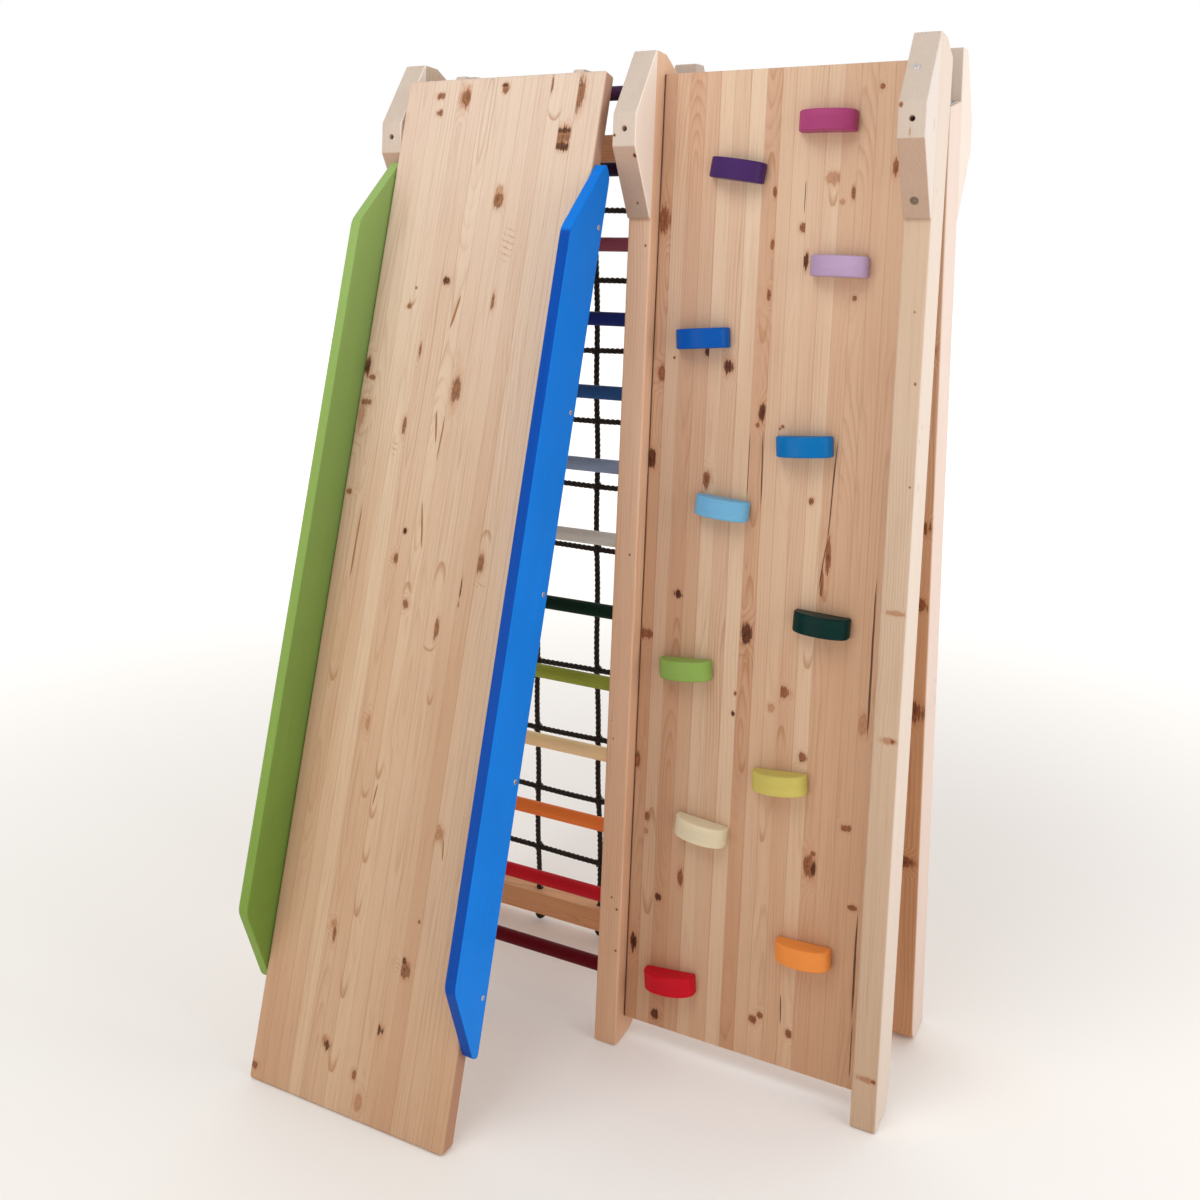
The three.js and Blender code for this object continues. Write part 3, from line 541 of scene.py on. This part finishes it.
for i, (side, px) in enumerate(POST_X.items()):
    ks = FACE_KNOTS[side] + spots(31 + i, 4, (-0.014, 0.014), (0.1, 1.5), "y", 0.0022, (1,)) + spots(61 + i, 5, (0.034, 0.07) if side == "mid" else (0.008, 0.07), (0.1, 1.55), "x", 0.005, (0, 0, 1))
    wood = pine(f"pine_post_front_{side}", [(-0.0201, 0.35 if side != "mid" else 0.6, 0.35, 0.6)], 0.0201, 11 + i, ks, (), *((MID_PALE, MID_WARM, MID_DARK) if side == "mid" else (POST_PALE, POST_WARM, POST_DARK)), 0.0046, side_light_and_shade=(224, 210, 198, 0.7) if side == "right" else None, top_light_mix=0.0 if side == "mid" else 0.10)
    o = soften(from_node(f"front_post_{side}", f"front_post_{side}_wood", FRONT, (px + 0.02, 0, 0)), 0.0032)
    done(o, wood, f"front_post_{side}")
    ks = spots(121 + i, 5, (0.008, 0.07), (0.1, 1.5), "x", 0.004, (0, 0, 1))
    ks += {
        "left": [(0.003, 0.42, 0.011, 0.009, 1), (-0.004, 0.705, 0.014, 0.011, 0), (0.0, 1.02, 0.012, 0.008, 1), (0.005, 1.31, 0.010, 0.008, 0)],
        "mid": [(0.0, 0.245, 0.012, 0.009, 0), (0.004, 0.52, 0.010, 0.008, 1), (-0.003, 0.86, 0.015, 0.011, 1), (0.002, 1.08, 0.009, 0.007, 0), (-0.004, 1.37, 0.011, 0.009, 1)],
        "right": [(-0.004, 0.33, 0.013, 0.009, 1), (0.0, 0.594, 0.016, 0.014, 1), (0.002, 0.774, 0.012, 0.009, 1), (0.004, 0.90, 0.010, 0.010, 1), (0.0, 1.18, 0.014, 0.010, 0)],
    }[side]
    wood = pine(f"pine_post_back_{side}", [(-0.0201, 0.5, 0.6, 1.0)], 0.0201, 21 + i, ks, (), BACK_PALE, BACK_WARM, BACK_DARK, 0.0060, side_light_and_shade=(226, 212, 204, 0.7) if side == "right" else None)
    o = soften(from_node(f"back_post_{side}", f"back_post_{side}_wood", BACK, (px + 0.02, 0, 0)), 0.0032)
    done(o, wood, f"back_post_{side}")
    ks = {"left": [], "mid": [(-0.0165, 1.4985, 0.0022, 0.0025, 2), (0.016, 1.468, 0.0026, 0.003, 2), (0.004, 1.40, 0.0016, 0.0016, 1)], "right": [(-0.0165, 1.527, 0.0024, 0.0028, 1), (-0.002, 1.489, 0.0012, 0.006, 0), (-0.02, 1.508, 0.004, 0.007, 1, "x"), (0.0, 1.56, 0.003, 0.009, 0, "x")]}[side]
    wood = pine(f"pine_bracket_{side}", [(-0.0201, 0.4, 0.2, 0.4)], 0.0201, 41 + i, ks, (), BRACKET_PALE, BRACKET_WARM, BRACKET_DARK, 0.0042, side_light_and_shade=(226, 214, 206, 0.7) if side == "right" else (246, 230, 216, 0.85), underside_shade=True, painted_light_by_height=False)
    o = soften(from_node(f"front_bracket_{side}", f"front_bracket_{side}_wood", FRONT, (px + 0.02, 0, 0)), 0.0022)
    done(o, wood, f"front_bracket_{side}")
    wood = pine(f"pine_back_bracket_{side}", [(-0.0201, 0.4, 0.2, 0.4)], 0.0201, 51 + i, [(0.13, 1.45, 0.002, 0.007, 1, "x")], (), BRACKET_PALE, BRACKET_WARM, BRACKET_DARK, 0.0042, side_light_and_shade=(238, 224, 212, 0.7) if side == "right" else None, underside_shade=True, painted_light_by_height=False)
    o = soften(from_node(f"back_bracket_{side}", f"back_bracket_{side}_wood", BACK, (px + 0.02, 0, 0)), 0.0022)
    done(o, wood, f"back_bracket_{side}")

# ------------------------------------------------------------------ climbing board
PX = 0.240
PANEL_STAVES = [
    (0.040, 0.95, 0.6, 0.9), (0.062, 0.45, 0.3, 0.6), (0.086, 0.9, 0.9, 0.9), (0.113, 0.7, 0.2, 0.5), (0.137, 0.15, 0.3, 0.5), (0.161, 0.45, 0.2, 0.9),
    (0.187, 0.0, 0.2, 0.4), (0.213, 0.9, 0.9, 1.0), (0.237, 0.4, 0.2, 0.5), (0.260, 0.3, 0.5, 0.5), (0.285, 0.4, 0.3, 0.6), (0.310, 0.1, 0.5, 0.4),
    (0.335, 0.65, 0.4, 0.6), (0.360, 0.6, 0.6, 0.6), (0.385, 0.6, 0.2, 0.5), (0.410, 0.65, 0.4, 0.6),
]
PANEL_KNOTS = [
    (53, 175, 6, 14, 2), (97, 60, 7, 9, 2), (94, 262, 5, 6, 2), (132, 306, 4.5, 13, 1), (67, 395, 5, 7, 1), (66, 370, 4, 5, 0), (44, 487, 6, 14, 1),
    (326, 548, 6, 7, 1), (402, 451, 7, 5, 1), (417, 329, 7, 4, 1), (346, 378, 8, 16, 1), (352, 399, 4, 4, 1), (354, 374, 3.5, 15, 2), (330, 98, 5, 6, 1), (279, 114, 4, 5, 1), (267, 104, 6, 6, 1),
    (45, 992, 8, 14, 2), (143, 967, 8, 12, 1), (105, 775, 7, 6, 2), (225, 728, 9, 15, 2), (232, 1080, 5, 13, 2), (225, 1060, 3, 3, 1), (318, 950, 4, 5, 1),
    (349, 868, 4, 26, 1), (342, 825, 2.5, 22, 1), (209, 596, 3, 3.5, 2), (290, 645, 9, 8, 1), (271, 617, 5, 6, 0), (418, 618, 7, 15, 0), (51, 702, 9, 8, 1), (266, 1061, 3, 2.5, 1), (262, 1057, 1.6, 2, 2),
    (392, 1572, 3.5, 4, 1), (282, 1366, 5, 7, 1), (367, 1262, 3.5, 4, 1), (172, 1148, 8, 11, 2), (59, 1131, 7, 12, 1), (136, 1170, 5, 6, 2), (289, 1316, 4, 10, 2), (384, 1318, 3, 8, 1), (50, 1378, 9, 20, 1),
    (357, 1418, 3, 9, 1), (341, 1405, 4, 4, 0), (418, 1455, 4, 13, 1), (326, 1440, 12, 9, 0), (233, 1262, 3, 9, 1), (234, 1340, 2.5, 7, 1), (234, 1420, 2.5, 9, 1), (79, 1158, 2, 2, 2), (211, 629, 2, 3, 1),
]
PANEL_ARCS = [
    (226, 700, 10, -60), (226, 680, 9, -60), (226, 820, 10, -70), (226, 900, 10, 70), (226, 1190, 10, 60), (226, 1480, 10, -60), (105, 735, 9, -46), (105, 700, 11, -60),
    (228, 505, 9, 44), (268, 400, 7, 40), (326, 690, 10, 40), (75, 230, 13, 60), (75, 410, 12, -60), (347, 800, 7, 50), (290, 590, 10, -50), (326, 1400, 10, 40),
]
PANEL_CRACKS = [(350.5, 885, 1052, 1.4, 0.05), (341.5, 812, 892, 1.2, 0.13), (425.5, 590, 850, 2.0, 0.0), (236, 930, 1056, 1.3, -0.02), (313, 108, 160, 1.2, -0.04), (213.6, 940, 1050, 0.8, 0.0), (282, 1385, 1440, 0.8, 0.0), (427, 150, 330, 1.8, 0.0), (428.5, 55, 150, 1.2, 0.0)]
wood = pine(
    "pine_panel", [(a - PX, b, c, d) for a, b, c, d in PANEL_STAVES], 0.4401 - PX, 7,
    [(x / 1000 - PX, z / 1000, rx / 1000, rz / 1000, g) for x, z, rx, rz, g in PANEL_KNOTS],
    [(x / 1000 - PX, a / 1000, b / 1000, w / 1000, k) for x, a, b, w, k in PANEL_CRACKS],
    arcs=[(ax / 1000 - PX, az / 1000, w / 1000, h / 1000, 0.0015) for ax, az, w, h in PANEL_ARCS],
    gap_shadow=0.92, top_light_mix=0.14,
)
o = soften(from_node("climbing_panel", "climbing_board", FRONT, (PX, 0.028, 0)), 0.0018, 2)
done(o, wood, "climbing_panel")

# ------------------------------------------------------------------ slide board
SLIDE_STAVES = [
    (-0.1867, 0.55, 0.4, 0.6), (-0.158, 0.35, 0.7, 0.5), (-0.133, 0.15, 0.3, 0.4), (-0.108, 0.0, 0.3, 0.4), (-0.083, 0.5, 0.6, 0.7), (-0.058, 0.45, 0.3, 0.5), (-0.036, 0.15, 1.0, 0.9),
    (-0.010, 0.35, 0.3, 0.4), (0.016, 0.25, 0.6, 0.5), (0.041, 0.4, 0.3, 0.4), (0.066, 0.68, 0.3, 0.5), (0.091, 0.3, 0.5, 0.5), (0.116, 0.35, 0.2, 0.4), (0.141, 0.3, 0.4, 0.5), (0.166, 0.4, 0.2, 0.4),
]
SLIDE_KNOTS = [
    (74, 243, 8, 11, 1), (69, 255, 4, 5, 2), (44, 143, 7, 8, 2), (-46, 92, 5, 7, 2), (-52, 98, 6, 6, 0), (-65, 257, 3, 9, 1), (-68, 272, 5, 6, 0), (12, 66, 4, 7, 1), (27, 30, 6, 13, 0), (86, 318, 2, 2.5, 1),
    (-65, 587, 3.5, 11, 0), (35, 755, 3.5, 15, 1), (-29, 783, 4, 7, 1), (-61, 850, 5, 7, 1), (-52, 896, 3.5, 4, 2), (96, 866, 6, 14, 1), (67, 823, 2.5, 14, 2), (67, 798, 2, 4, 1), (-86, 1062, 4, 14, 1), (-175, 944, 5, 4, 1),
    (-176, 1070, 6, 22, 0), (-170, 1094, 9, 5, 1), (2, 1130, 7, 23, 1), (-78, 1187, 2.2, 11, 1), (45, 1276, 4, 12, 1), (-49, 1305, 6, 6, 2), (-113, 1259, 5, 4, 1), (-107, 1290, 3, 2.5, 1),
    (26, 1440, 8, 10, 1), (25, 1454, 7, 9, 0), (127, 1545, 13, 15, 1), (127, 1529, 12, 6, 2), (127, 1555, 11, 4, 2), (7, 1626, 5, 8, 1), (5, 1631, 5, 3, 2), (-70, 1612, 10, 15, 0), (-66, 1610, 8, 12, 1), (-117, 1615, 8, 5, 1), (-113, 1586, 6, 5, 1),
    (146, 1616, 7, 25, 1), (-178, 1152, 6, 14, 2), (-166, 1136, 7, 4, 1), (93, 1630, 2, 12, 1), (95, 455, 8, 10, 0), (-180, 18, 8, 5, 1),
]
SLIDE_ARCS = [
    (-31, 58, 13, 46), (-32, 170, 11, 52), (-30, 296, 10, 44), (-30, 378, 9, 34), (-30, 447, 9, 34), (-30, 508, 9, 40), (-50, 474, 9, 22), (97, 458, 12, -42),
    (100, 918, 13, -26), (-148, 640, 12, 34), (27, 720, 14, 10), (-109, 1262, 9, 18), (105, 1573, 16, 22), (43, 640, 8, 26), (-30, 816, 10, -30), (27, 858, 14, -50),
]
SLIDE_CRACKS = [(-25, 1040, 1095, 1.4, -0.16), (-22, 1225, 1285, 1.8, 0.22), (108, 415, 450, 1.0, -0.12), (-22, 870, 950, 1.2, -0.16), (-12, 1010, 1090, 0.9, 0.03), (-30, 465, 500, 1.0, 0.1), (-144, 800, 930, 1.2, 0.02)]
wood = pine(
    "pine_slide", SLIDE_STAVES, 0.1867, 5,
    [(x / 1000, z / 1000, rx / 1000, rz / 1000, g) for x, z, rx, rz, g in SLIDE_KNOTS],
    [(x / 1000, a / 1000, b / 1000, 1.7 * w / 1000, k) for x, a, b, w, k in SLIDE_CRACKS],
    (214, 187, 158), (194, 152, 119), (164, 116, 82),
    arcs=[(ax / 1000, az / 1000, w / 1000, h / 1000, 0.0016) for ax, az, w, h in SLIDE_ARCS],
    side_light_and_shade=(170, 122, 96, 0.75), top_light_mix=0.58, split=(152, 102, 62),
    knot_tones=((0.62, (186, 138, 102), (170, 120, 84), (136, 94, 64)), (0.92, (160, 108, 72), (128, 82, 52), (86, 52, 34)), (1.0, (118, 74, 48), (80, 48, 30), (44, 26, 18))),
    feathers=[(0.056, 1.370, 0.016, 0.042, 0.0105), (-0.098, 1.026, 0.008, 0.018, 0.009), (-0.074, 0.262, 0.013, 0.016, 0.006), (0.056, 0.246, 0.012, 0.016, 0.006), (-0.072, 0.592, 0.010, 0.016, 0.007), (-0.070, 0.846, 0.012, 0.013, 0.006), (0.100, 0.834, 0.014, 0.006, 0.008)],
)
o = soften(from_node("slide_board", "slide_board_wood", SLIDE), 0.006, 4)
done(o, wood, "slide_board")
for side, rgb, seed in (("left", (126, 156, 68), 3), ("right", (1, 128, 230), 9)):
    o = soften(from_node(f"slide_rail_{side}", f"slide_rail_{side}_painted", SLIDE), 0.0035, 4)
    done(o, lacquer(f"lacquer_rail_{side}", rgb, "z", seed, 0.4, edge=(2, 72, 164) if side == "right" else None, top=(4, 110, 204) if side == "right" else (150, 178, 106)), f"slide_rail_{side}")
hookwood = pine("pine_hook", [(-0.5, 0.4, 0.2, 0.5)], 0.5, 77, (), (), BRACKET_PALE, BRACKET_WARM, BRACKET_DARK)
for side in ("left", "right"):
    o = soften(from_node(f"slide_hook_{side}", f"slide_hook_{side}_wood", WORLD), 0.0015, 2)
    done(o, hookwood, f"slide_hook_{side}")

# ------------------------------------------------------------------ rungs
RUNGS = [
    (98, 12, 24), (196, 30, 44), (238, 128, 62), (250, 220, 172), (152, 166, 68), (12, 42, 32), (214, 216, 212),
    (140, 160, 192), (44, 84, 142), (28, 44, 116), (140, 74, 92), (40, 22, 56), (66, 34, 64),
]


def stadium(w, h, n=12):
    r = h / 2
    pts = []
    for i in range(n + 1):
        a = -math.pi / 2 + math.pi * i / n
        pts.append((w / 2 - r + r * math.cos(a), r * math.sin(a)))
    for i in range(n + 1):
        a = math.pi / 2 + math.pi * i / n
        pts.append((-w / 2 + r + r * math.cos(a), r * math.sin(a)))
    return pts


for i, rgb in enumerate(RUNGS):
    v0 = 0.110 + 0.1228 * i
    v, f = prism(stadium(0.024, 0.0234), 0.3994, "x", -0.1997)
    o = mesh_obj(f"rung_{i + 1:02d}_painted", v, f, FRONT, (-0.2, 0.040, v0))
    soften(o, 0, smooth=50)
    done(o, lacquer(f"lacquer_rung_{i + 1:02d}", rgb, "x", i + 20, 0.5), f"rung_{i + 1:02d}")

# ------------------------------------------------------------------ holds
HOLDS = {
    "hold_red": (0.125, 0.131, -6, (198, 20, 36)),
    "hold_orange": (0.347, 0.240, -2, (234, 142, 68)),
    "hold_cream": (0.167, 0.398, 5, (219, 203, 170)),
    "hold_yellow": (0.294, 0.505, -5, (198, 182, 96)),
    "hold_lime": (0.127, 0.658, -5, (139, 168, 82)),
    "hold_dark_green": (0.347, 0.764, 2, (4, 42, 38)),
    "hold_light_blue": (0.176, 0.926, 4, (110, 169, 203)),
    "hold_mid_blue": (0.305, 1.034, -4, (8, 107, 171)),
    "hold_royal_blue": (0.130, 1.191, -4.5, (12, 82, 163)),
    "hold_lilac": (0.344, 1.308, 1, (172, 146, 176)),
    "hold_purple": (0.175, 1.453, 8, (69, 41, 94)),
    "hold_magenta": (0.315, 1.523, 0.5, (163, 67, 113)),
}
half = []
for i in range(49):
    t = math.pi * i / 48
    half.append((0.044 * math.cos(t), -(0.009 + 0.025 * math.sin(t) ** 0.9)))
half += [(-0.044, -0.0003), (0.044, -0.0003)]
for i, (node, (hx, hv, roll, rgb)) in enumerate(HOLDS.items()):
    v, f = prism(half, 0.032, "z", -0.016)
    o = mesh_obj(f"{node}_painted", v, f, FRONT @ T((hx, 0.028, hv)) @ Matrix.Rotation(math.radians(roll), 4, "Y"))
    soften(o, 0.0028, 4, 30)
    done(o, lacquer(f"lacquer_{node}", rgb, "x", i + 50, 0.3, 0.6), node)

# ------------------------------------------------------------------ beams
# the beams' pine is a brighter copy of the back wood, to make up for the shadow they stand in: painted light
for i, (node, x) in enumerate((("net_top_beam", -0.2), ("net_bottom_beam", -0.2), ("right_bay_top_beam", 0.24), ("right_bay_bottom_beam", 0.24))):
    o = soften(from_node(node, f"{node}_wood", BACK @ T((x, 0.040, 0)) @ Matrix.Rotation(math.pi / 2, 4, "Y")), 0.003, 3)
    done(o, pine(f"pine_{node}", [(-0.2, 0.45, 0.5, 0.9)], 0.2, 83 + i, spots(83 + i, 3, (-0.01, 0.01), (-0.17, 0.17), "y", 0.006), (), (236, 190, 148), (214, 160, 118), (172, 114, 76)), node)

# ------------------------------------------------------------------ rope net
def strand_mesh(path, r, pitch, strands=3, sides=7, step=0.0035):
    """A twisted rope round the path: each strand a tube of its own, joined into one list of vertices and faces."""
    pts = [Vector(p) for p in path]
    seg = [0.0]
    for a, b in zip(pts, pts[1:]):
        seg.append(seg[-1] + (b - a).length)
    total = seg[-1]
    n = max(8, int(total / step))
    centre, k = [], 0
    for i in range(n + 1):
        s = total * i / n
        while k < len(seg) - 2 and s > seg[k + 1]:
            k += 1
        t = (s - seg[k]) / (seg[k + 1] - seg[k])
        centre.append(pts[k].lerp(pts[k + 1], t))
    verts, faces = [], []
    ref = Vector((0, 1, 0))
    for j in range(strands):
        line = []
        for i, c in enumerate(centre):
            d = (centre[min(i + 1, n)] - centre[max(i - 1, 0)]).normalized()
            u = d.cross(ref).normalized()
            w = d.cross(u)
            a = 2 * math.pi * (total * i / n / pitch + j / strands)
            line.append(c + (u * math.cos(a) + w * math.sin(a)) * (r * 0.48))
        base = len(verts)
        for i, c in enumerate(line):
            d = (line[min(i + 1, n)] - line[max(i - 1, 0)]).normalized()
            u = d.cross(ref)
            u = u.normalized() if u.length > 1e-6 else Vector((1, 0, 0))
            w = d.cross(u)
            for s in range(sides):
                a = 2 * math.pi * s / sides
                verts.append(c + (u * math.cos(a) + w * math.sin(a)) * (r * 0.53))
        for i in range(n):
            for s in range(sides):
                a, b = base + i * sides + s, base + i * sides + (s + 1) % sides
                faces.append([a, b, b + sides, a + sides])
        faces.append([base + s for s in range(sides)][::-1])
        faces.append([base + n * sides + s for s in range(sides)])
    return verts, faces


ROWS = [0.156, 0.284, 0.408, 0.545, 0.663, 0.781, 0.900, 1.021, 1.148, 1.272, 1.394]
COLS = [-0.2666, -0.1334]
ROPE = 0.0054
rv, rf = [], []


def add(vf):
    b = len(rv)
    rv.extend(vf[0])
    rf.extend([[i + b for i in f] for f in vf[1]])


rnd = random.Random(4)
for i, v in enumerate(ROWS):
    sag = 0.0012
    path = []
    for k in range(25):
        t = k / 24
        path.append((-0.3995 + 0.399 * t, 0.040, v - sag * math.sin(math.pi * t) + 0.0012 * math.sin(7 * t + i)))
    add(strand_mesh(path, ROPE, 0.030))
for c in COLS:
    path = []
    for k in range(61):
        t = k / 60
        path.append((c + 0.0022 * math.sin(7 * t + c * 30), 0.040 + 0.0022 * math.sin(t * math.pi * 12 + (0 if c < -0.2 else math.pi)) * (1 if 0.06 < t < 0.94 else 0), 0.008 + 1.522 * t))
    add(strand_mesh(path, ROPE, 0.030))
    # lashing at each crossing
    for i, v in enumerate(ROWS):
        loop = []
        turns = 2.5
        vv = v - 0.0012 * math.sin(math.pi * (c + 0.3995) / 0.399)
        for k in range(int(turns * 16) + 1):
            a = 2 * math.pi * k / 16
            off = (k / (turns * 16) - 0.5) * 0.009
            loop.append((c + 0.0068 * math.cos(a) * 0.75 + off * 0.7, 0.040 + 0.0098 * math.sin(a), vv + 0.0068 * math.cos(a) * 0.75 - off * 0.7))
        add(strand_mesh(loop, 0.0021, 0.012, strands=1, sides=6, step=0.003))
    # stopper knots
    for vz in (0.013, 1.530):
        loop = []
        for k in range(65):
            a = 2 * math.pi * k / 16
            h = (k / 64 - 0.5) * 0.016
            r = 0.0072 * (1 - 0.35 * abs(k / 32 - 1) ** 2)
            loop.append((c + r * math.cos(a), 0.040 + r * math.sin(a), vz + h))
        add(strand_mesh(loop, 0.0040, 0.02, strands=2, sides=7, step=0.0025))
net = mesh_obj("rope_net_twisted", rv, rf, BACK)
for p in net.data.polygons:
    p.use_smooth = True
done(net, rope_mat("black_rope"), "rope_net")

# ------------------------------------------------------------------ hinges
zinc = steel("zinc_plate")
for side in POST_X:
    for part in ("hinge_front_leaf", "hinge_back_leaf", "hinge_pin"):
        o = soften(from_node(f"{part}_{side}", f"{part}_{side}_metal", WORLD), 0.0004, 2, 35)
        done(o, zinc, f"{part}_{side}")


# ------------------------------------------------------------------ screws
def screw(name, frame_m, pos, normal, r, body, mat, proud=0.0006, cross=True):
    """A countersunk head with a cross recess: its flat top stands proud of the surface by a little."""
    z = Vector(normal).normalized()
    x = z.orthogonal().normalized()
    y = z.cross(x)
    rot = Matrix((x, y, z)).transposed().to_4x4()
    bm = bmesh.new()
    rings = [(r * 0.55, -0.0016), (r * 0.98, -0.0002), (r, proud * 0.5), (r * 0.92, proud), (r * 0.6, proud * 1.15)]
    n = 24
    vs = []
    for rr, h in rings:
        vs.append([bm.verts.new((rr * math.cos(2 * math.pi * k / n), rr * math.sin(2 * math.pi * k / n), h)) for k in range(n)])
    for a, b in zip(vs, vs[1:]):
        for k in range(n):
            bm.faces.new([a[k], a[(k + 1) % n], b[(k + 1) % n], b[k]])
    bm.faces.new(vs[0][::-1])
    # star recess
    star = []
    for k in range(n):
        a = 2 * math.pi * k / n
        q = r * (0.42 if k % 6 == 0 else 0.16 if k % 6 == 3 else 0.22)
        star.append(bm.verts.new((q * math.cos(a), q * math.sin(a), proud * 1.15)))
    deep = [bm.verts.new((v.co.x * 0.7, v.co.y * 0.7, proud - r * 0.35)) for v in star]
    for k in range(n):
        bm.faces.new([vs[-1][k], vs[-1][(k + 1) % n], star[(k + 1) % n], star[k]])
        bm.faces.new([star[k], star[(k + 1) % n], deep[(k + 1) % n], deep[k]])
    bm.faces.new(deep)
    bmesh.ops.recalc_face_normals(bm, faces=bm.faces)
    me = bpy.data.meshes.new(name)
    bm.to_mesh(me)
    bm.free()
    for p in me.polygons:
        p.use_smooth = True
    me.set_sharp_from_angle(angle=math.radians(35))
    o = link(bpy.data.objects.new(name, me))
    o.matrix_world = frame_m @ T(pos) @ rot
    me.materials.append(mat)
    settle(o)
    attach(o, body)
    return o


bright = steel("screw_bright", (206, 208, 212), 0.28)
dull = steel("screw_dull", (120, 118, 116), 0.42)
for k, s in enumerate((0.237, 0.555, 0.837, 1.116, 1.406)):
    screw(f"rail_screw_right_{k}", SLIDE, (0.1866 + 0.0182, 0.017, s), (1, 0, 0), 0.0042, "slide", bright)
    screw(f"rail_screw_left_{k}", SLIDE, (-0.1866 - 0.0182, 0.017, s), (-1, 0, 0), 0.0042, "slide", bright)

screw("bracket_plug_right", FRONT, (0.455, -0.0383, 1.584), (0, -0.855, 0.518), 0.0052, "front_frame", steel("plug_pale", (206, 202, 200), 0.6))
screw("bracket_screw_right", FRONT, (0.4585, -0.0198, 1.401), (0, -0.851, -0.525), 0.0062, "front_frame", steel("screw_aged", (128, 116, 98), 0.45), 0.0008)

# hinge leaves: two screws each, into the post's rear face and into the back post's end
END_Y, END_Z = BACK_Y - 1.545 * math.sin(LEAN), 1.545 * math.cos(LEAN)
END_SLOPE = LEAN + math.atan2(0.013, 0.080)
for side, px in POST_X.items():
    for k, (dx, along) in enumerate(((-0.008, 0.018), (0.008, 0.036))):
        zz = 1.5496 + along
        screw(f"hinge_screw_front_{side}_{k}", FRONT, (px + 0.02 + dx, 0.0823, zz / math.cos(LEAN) + 0.080 * math.tan(LEAN)), (0, 1, 0), 0.0038, "front_frame", bright)
        yy = 0.166 + 0.004 + along
        screw(f"hinge_screw_back_{side}_{k}", WORLD, (px + 0.02 + dx, yy - 0.0023 * math.sin(END_SLOPE), END_Z + (yy - END_Y) * math.tan(END_SLOPE) + 0.0023 * math.cos(END_SLOPE)), (0, -math.sin(END_SLOPE), math.cos(END_SLOPE)), 0.0038, "back_frame", bright)

# ------------------------------------------------------------------ floor and light
floor_me = bpy.data.meshes.new("floor")
floor_me.from_pydata([(-30, -30, 0), (30, -30, 0), (30, 30, 0), (-30, 30, 0)], [], [[0, 1, 2, 3]])
floor = link(bpy.data.objects.new("floor", floor_me))
floor.location.z = -0.0008
fm, fnt, fb = new_mat("floor_pale")
fn = N(fnt, "ShaderNodeTexNoise", {"Scale": 3.0, "Detail": 2.0}).outputs[0]
fnt.links.new(MIX(fnt, MAPR(fnt, fn, 0.3, 0.7, 0, 1), (0.84, 0.80, 0.755), (0.86, 0.82, 0.78)), fb.inputs["Base Color"])
fb.inputs["Roughness"].default_value = 0.8
# painted light: the floor glows, faintly beside the object and more with distance, so that it fades into the white
# backdrop
fdist = VM(fnt, "LENGTH", N(fnt, "ShaderNodeTexCoord").outputs["Object"], out=1)
fb.inputs["Emission Color"].default_value = (1, 1, 1, 1)
fnt.links.new(MAPR(fnt, fdist, 0.7, 4.0, 0.08, 0.55), fb.inputs["Emission Strength"])
floor_me.materials.append(fm)

world = bpy.data.worlds.new("studio")
bpy.context.scene.world = world
world.use_nodes = True
wnt = world.node_tree
bg = wnt.nodes["Background"]
bg.inputs[0].default_value = (1.0, 1.0, 1.0, 1)
wsep = N(wnt, "ShaderNodeSeparateXYZ", {0: N(wnt, "ShaderNodeTexCoord").outputs["Generated"]})
seen = N(wnt, "ShaderNodeLightPath").outputs["Is Camera Ray"]  # plain white behind the object from every side
wnt.links.new(MA(wnt, "MAXIMUM", MAPR(wnt, wsep.outputs[1], -0.25, 0.4, 0.46, 1.0), seen), bg.inputs[1])


def area(name, loc, target, size, power, color=(1, 1, 1)):
    d = bpy.data.lights.new(name, "AREA")
    d.shape = "RECTANGLE"
    d.size, d.size_y = size
    d.energy = power
    d.color = color
    o = link(bpy.data.objects.new(name, d))
    o.location = loc
    o.rotation_euler = (Vector(target) - Vector(loc)).to_track_quat("-Z", "Y").to_euler()
    return o


area("window", (3.0, -0.3, 1.6), (0, 0, 0.9), (1.8, 1.8), 31, (0.97, 0.985, 1.0))
area("overhead", (-0.3, -1.6, 3.1), (0, -0.2, 1.1), (1.5, 1.5), 29, (0.90, 0.96, 1.0))
area("front", (-1.4, -3.0, 0.9), (0, 0, 0.6), (2.0, 1.4), 17, (1.0, 0.84, 0.68))
sc = bpy.context.scene
sc.view_settings.view_transform = "Standard"
sc.view_settings.look = "None"
sc.view_settings.exposure = 0.0
sc.view_settings.gamma = 1.0
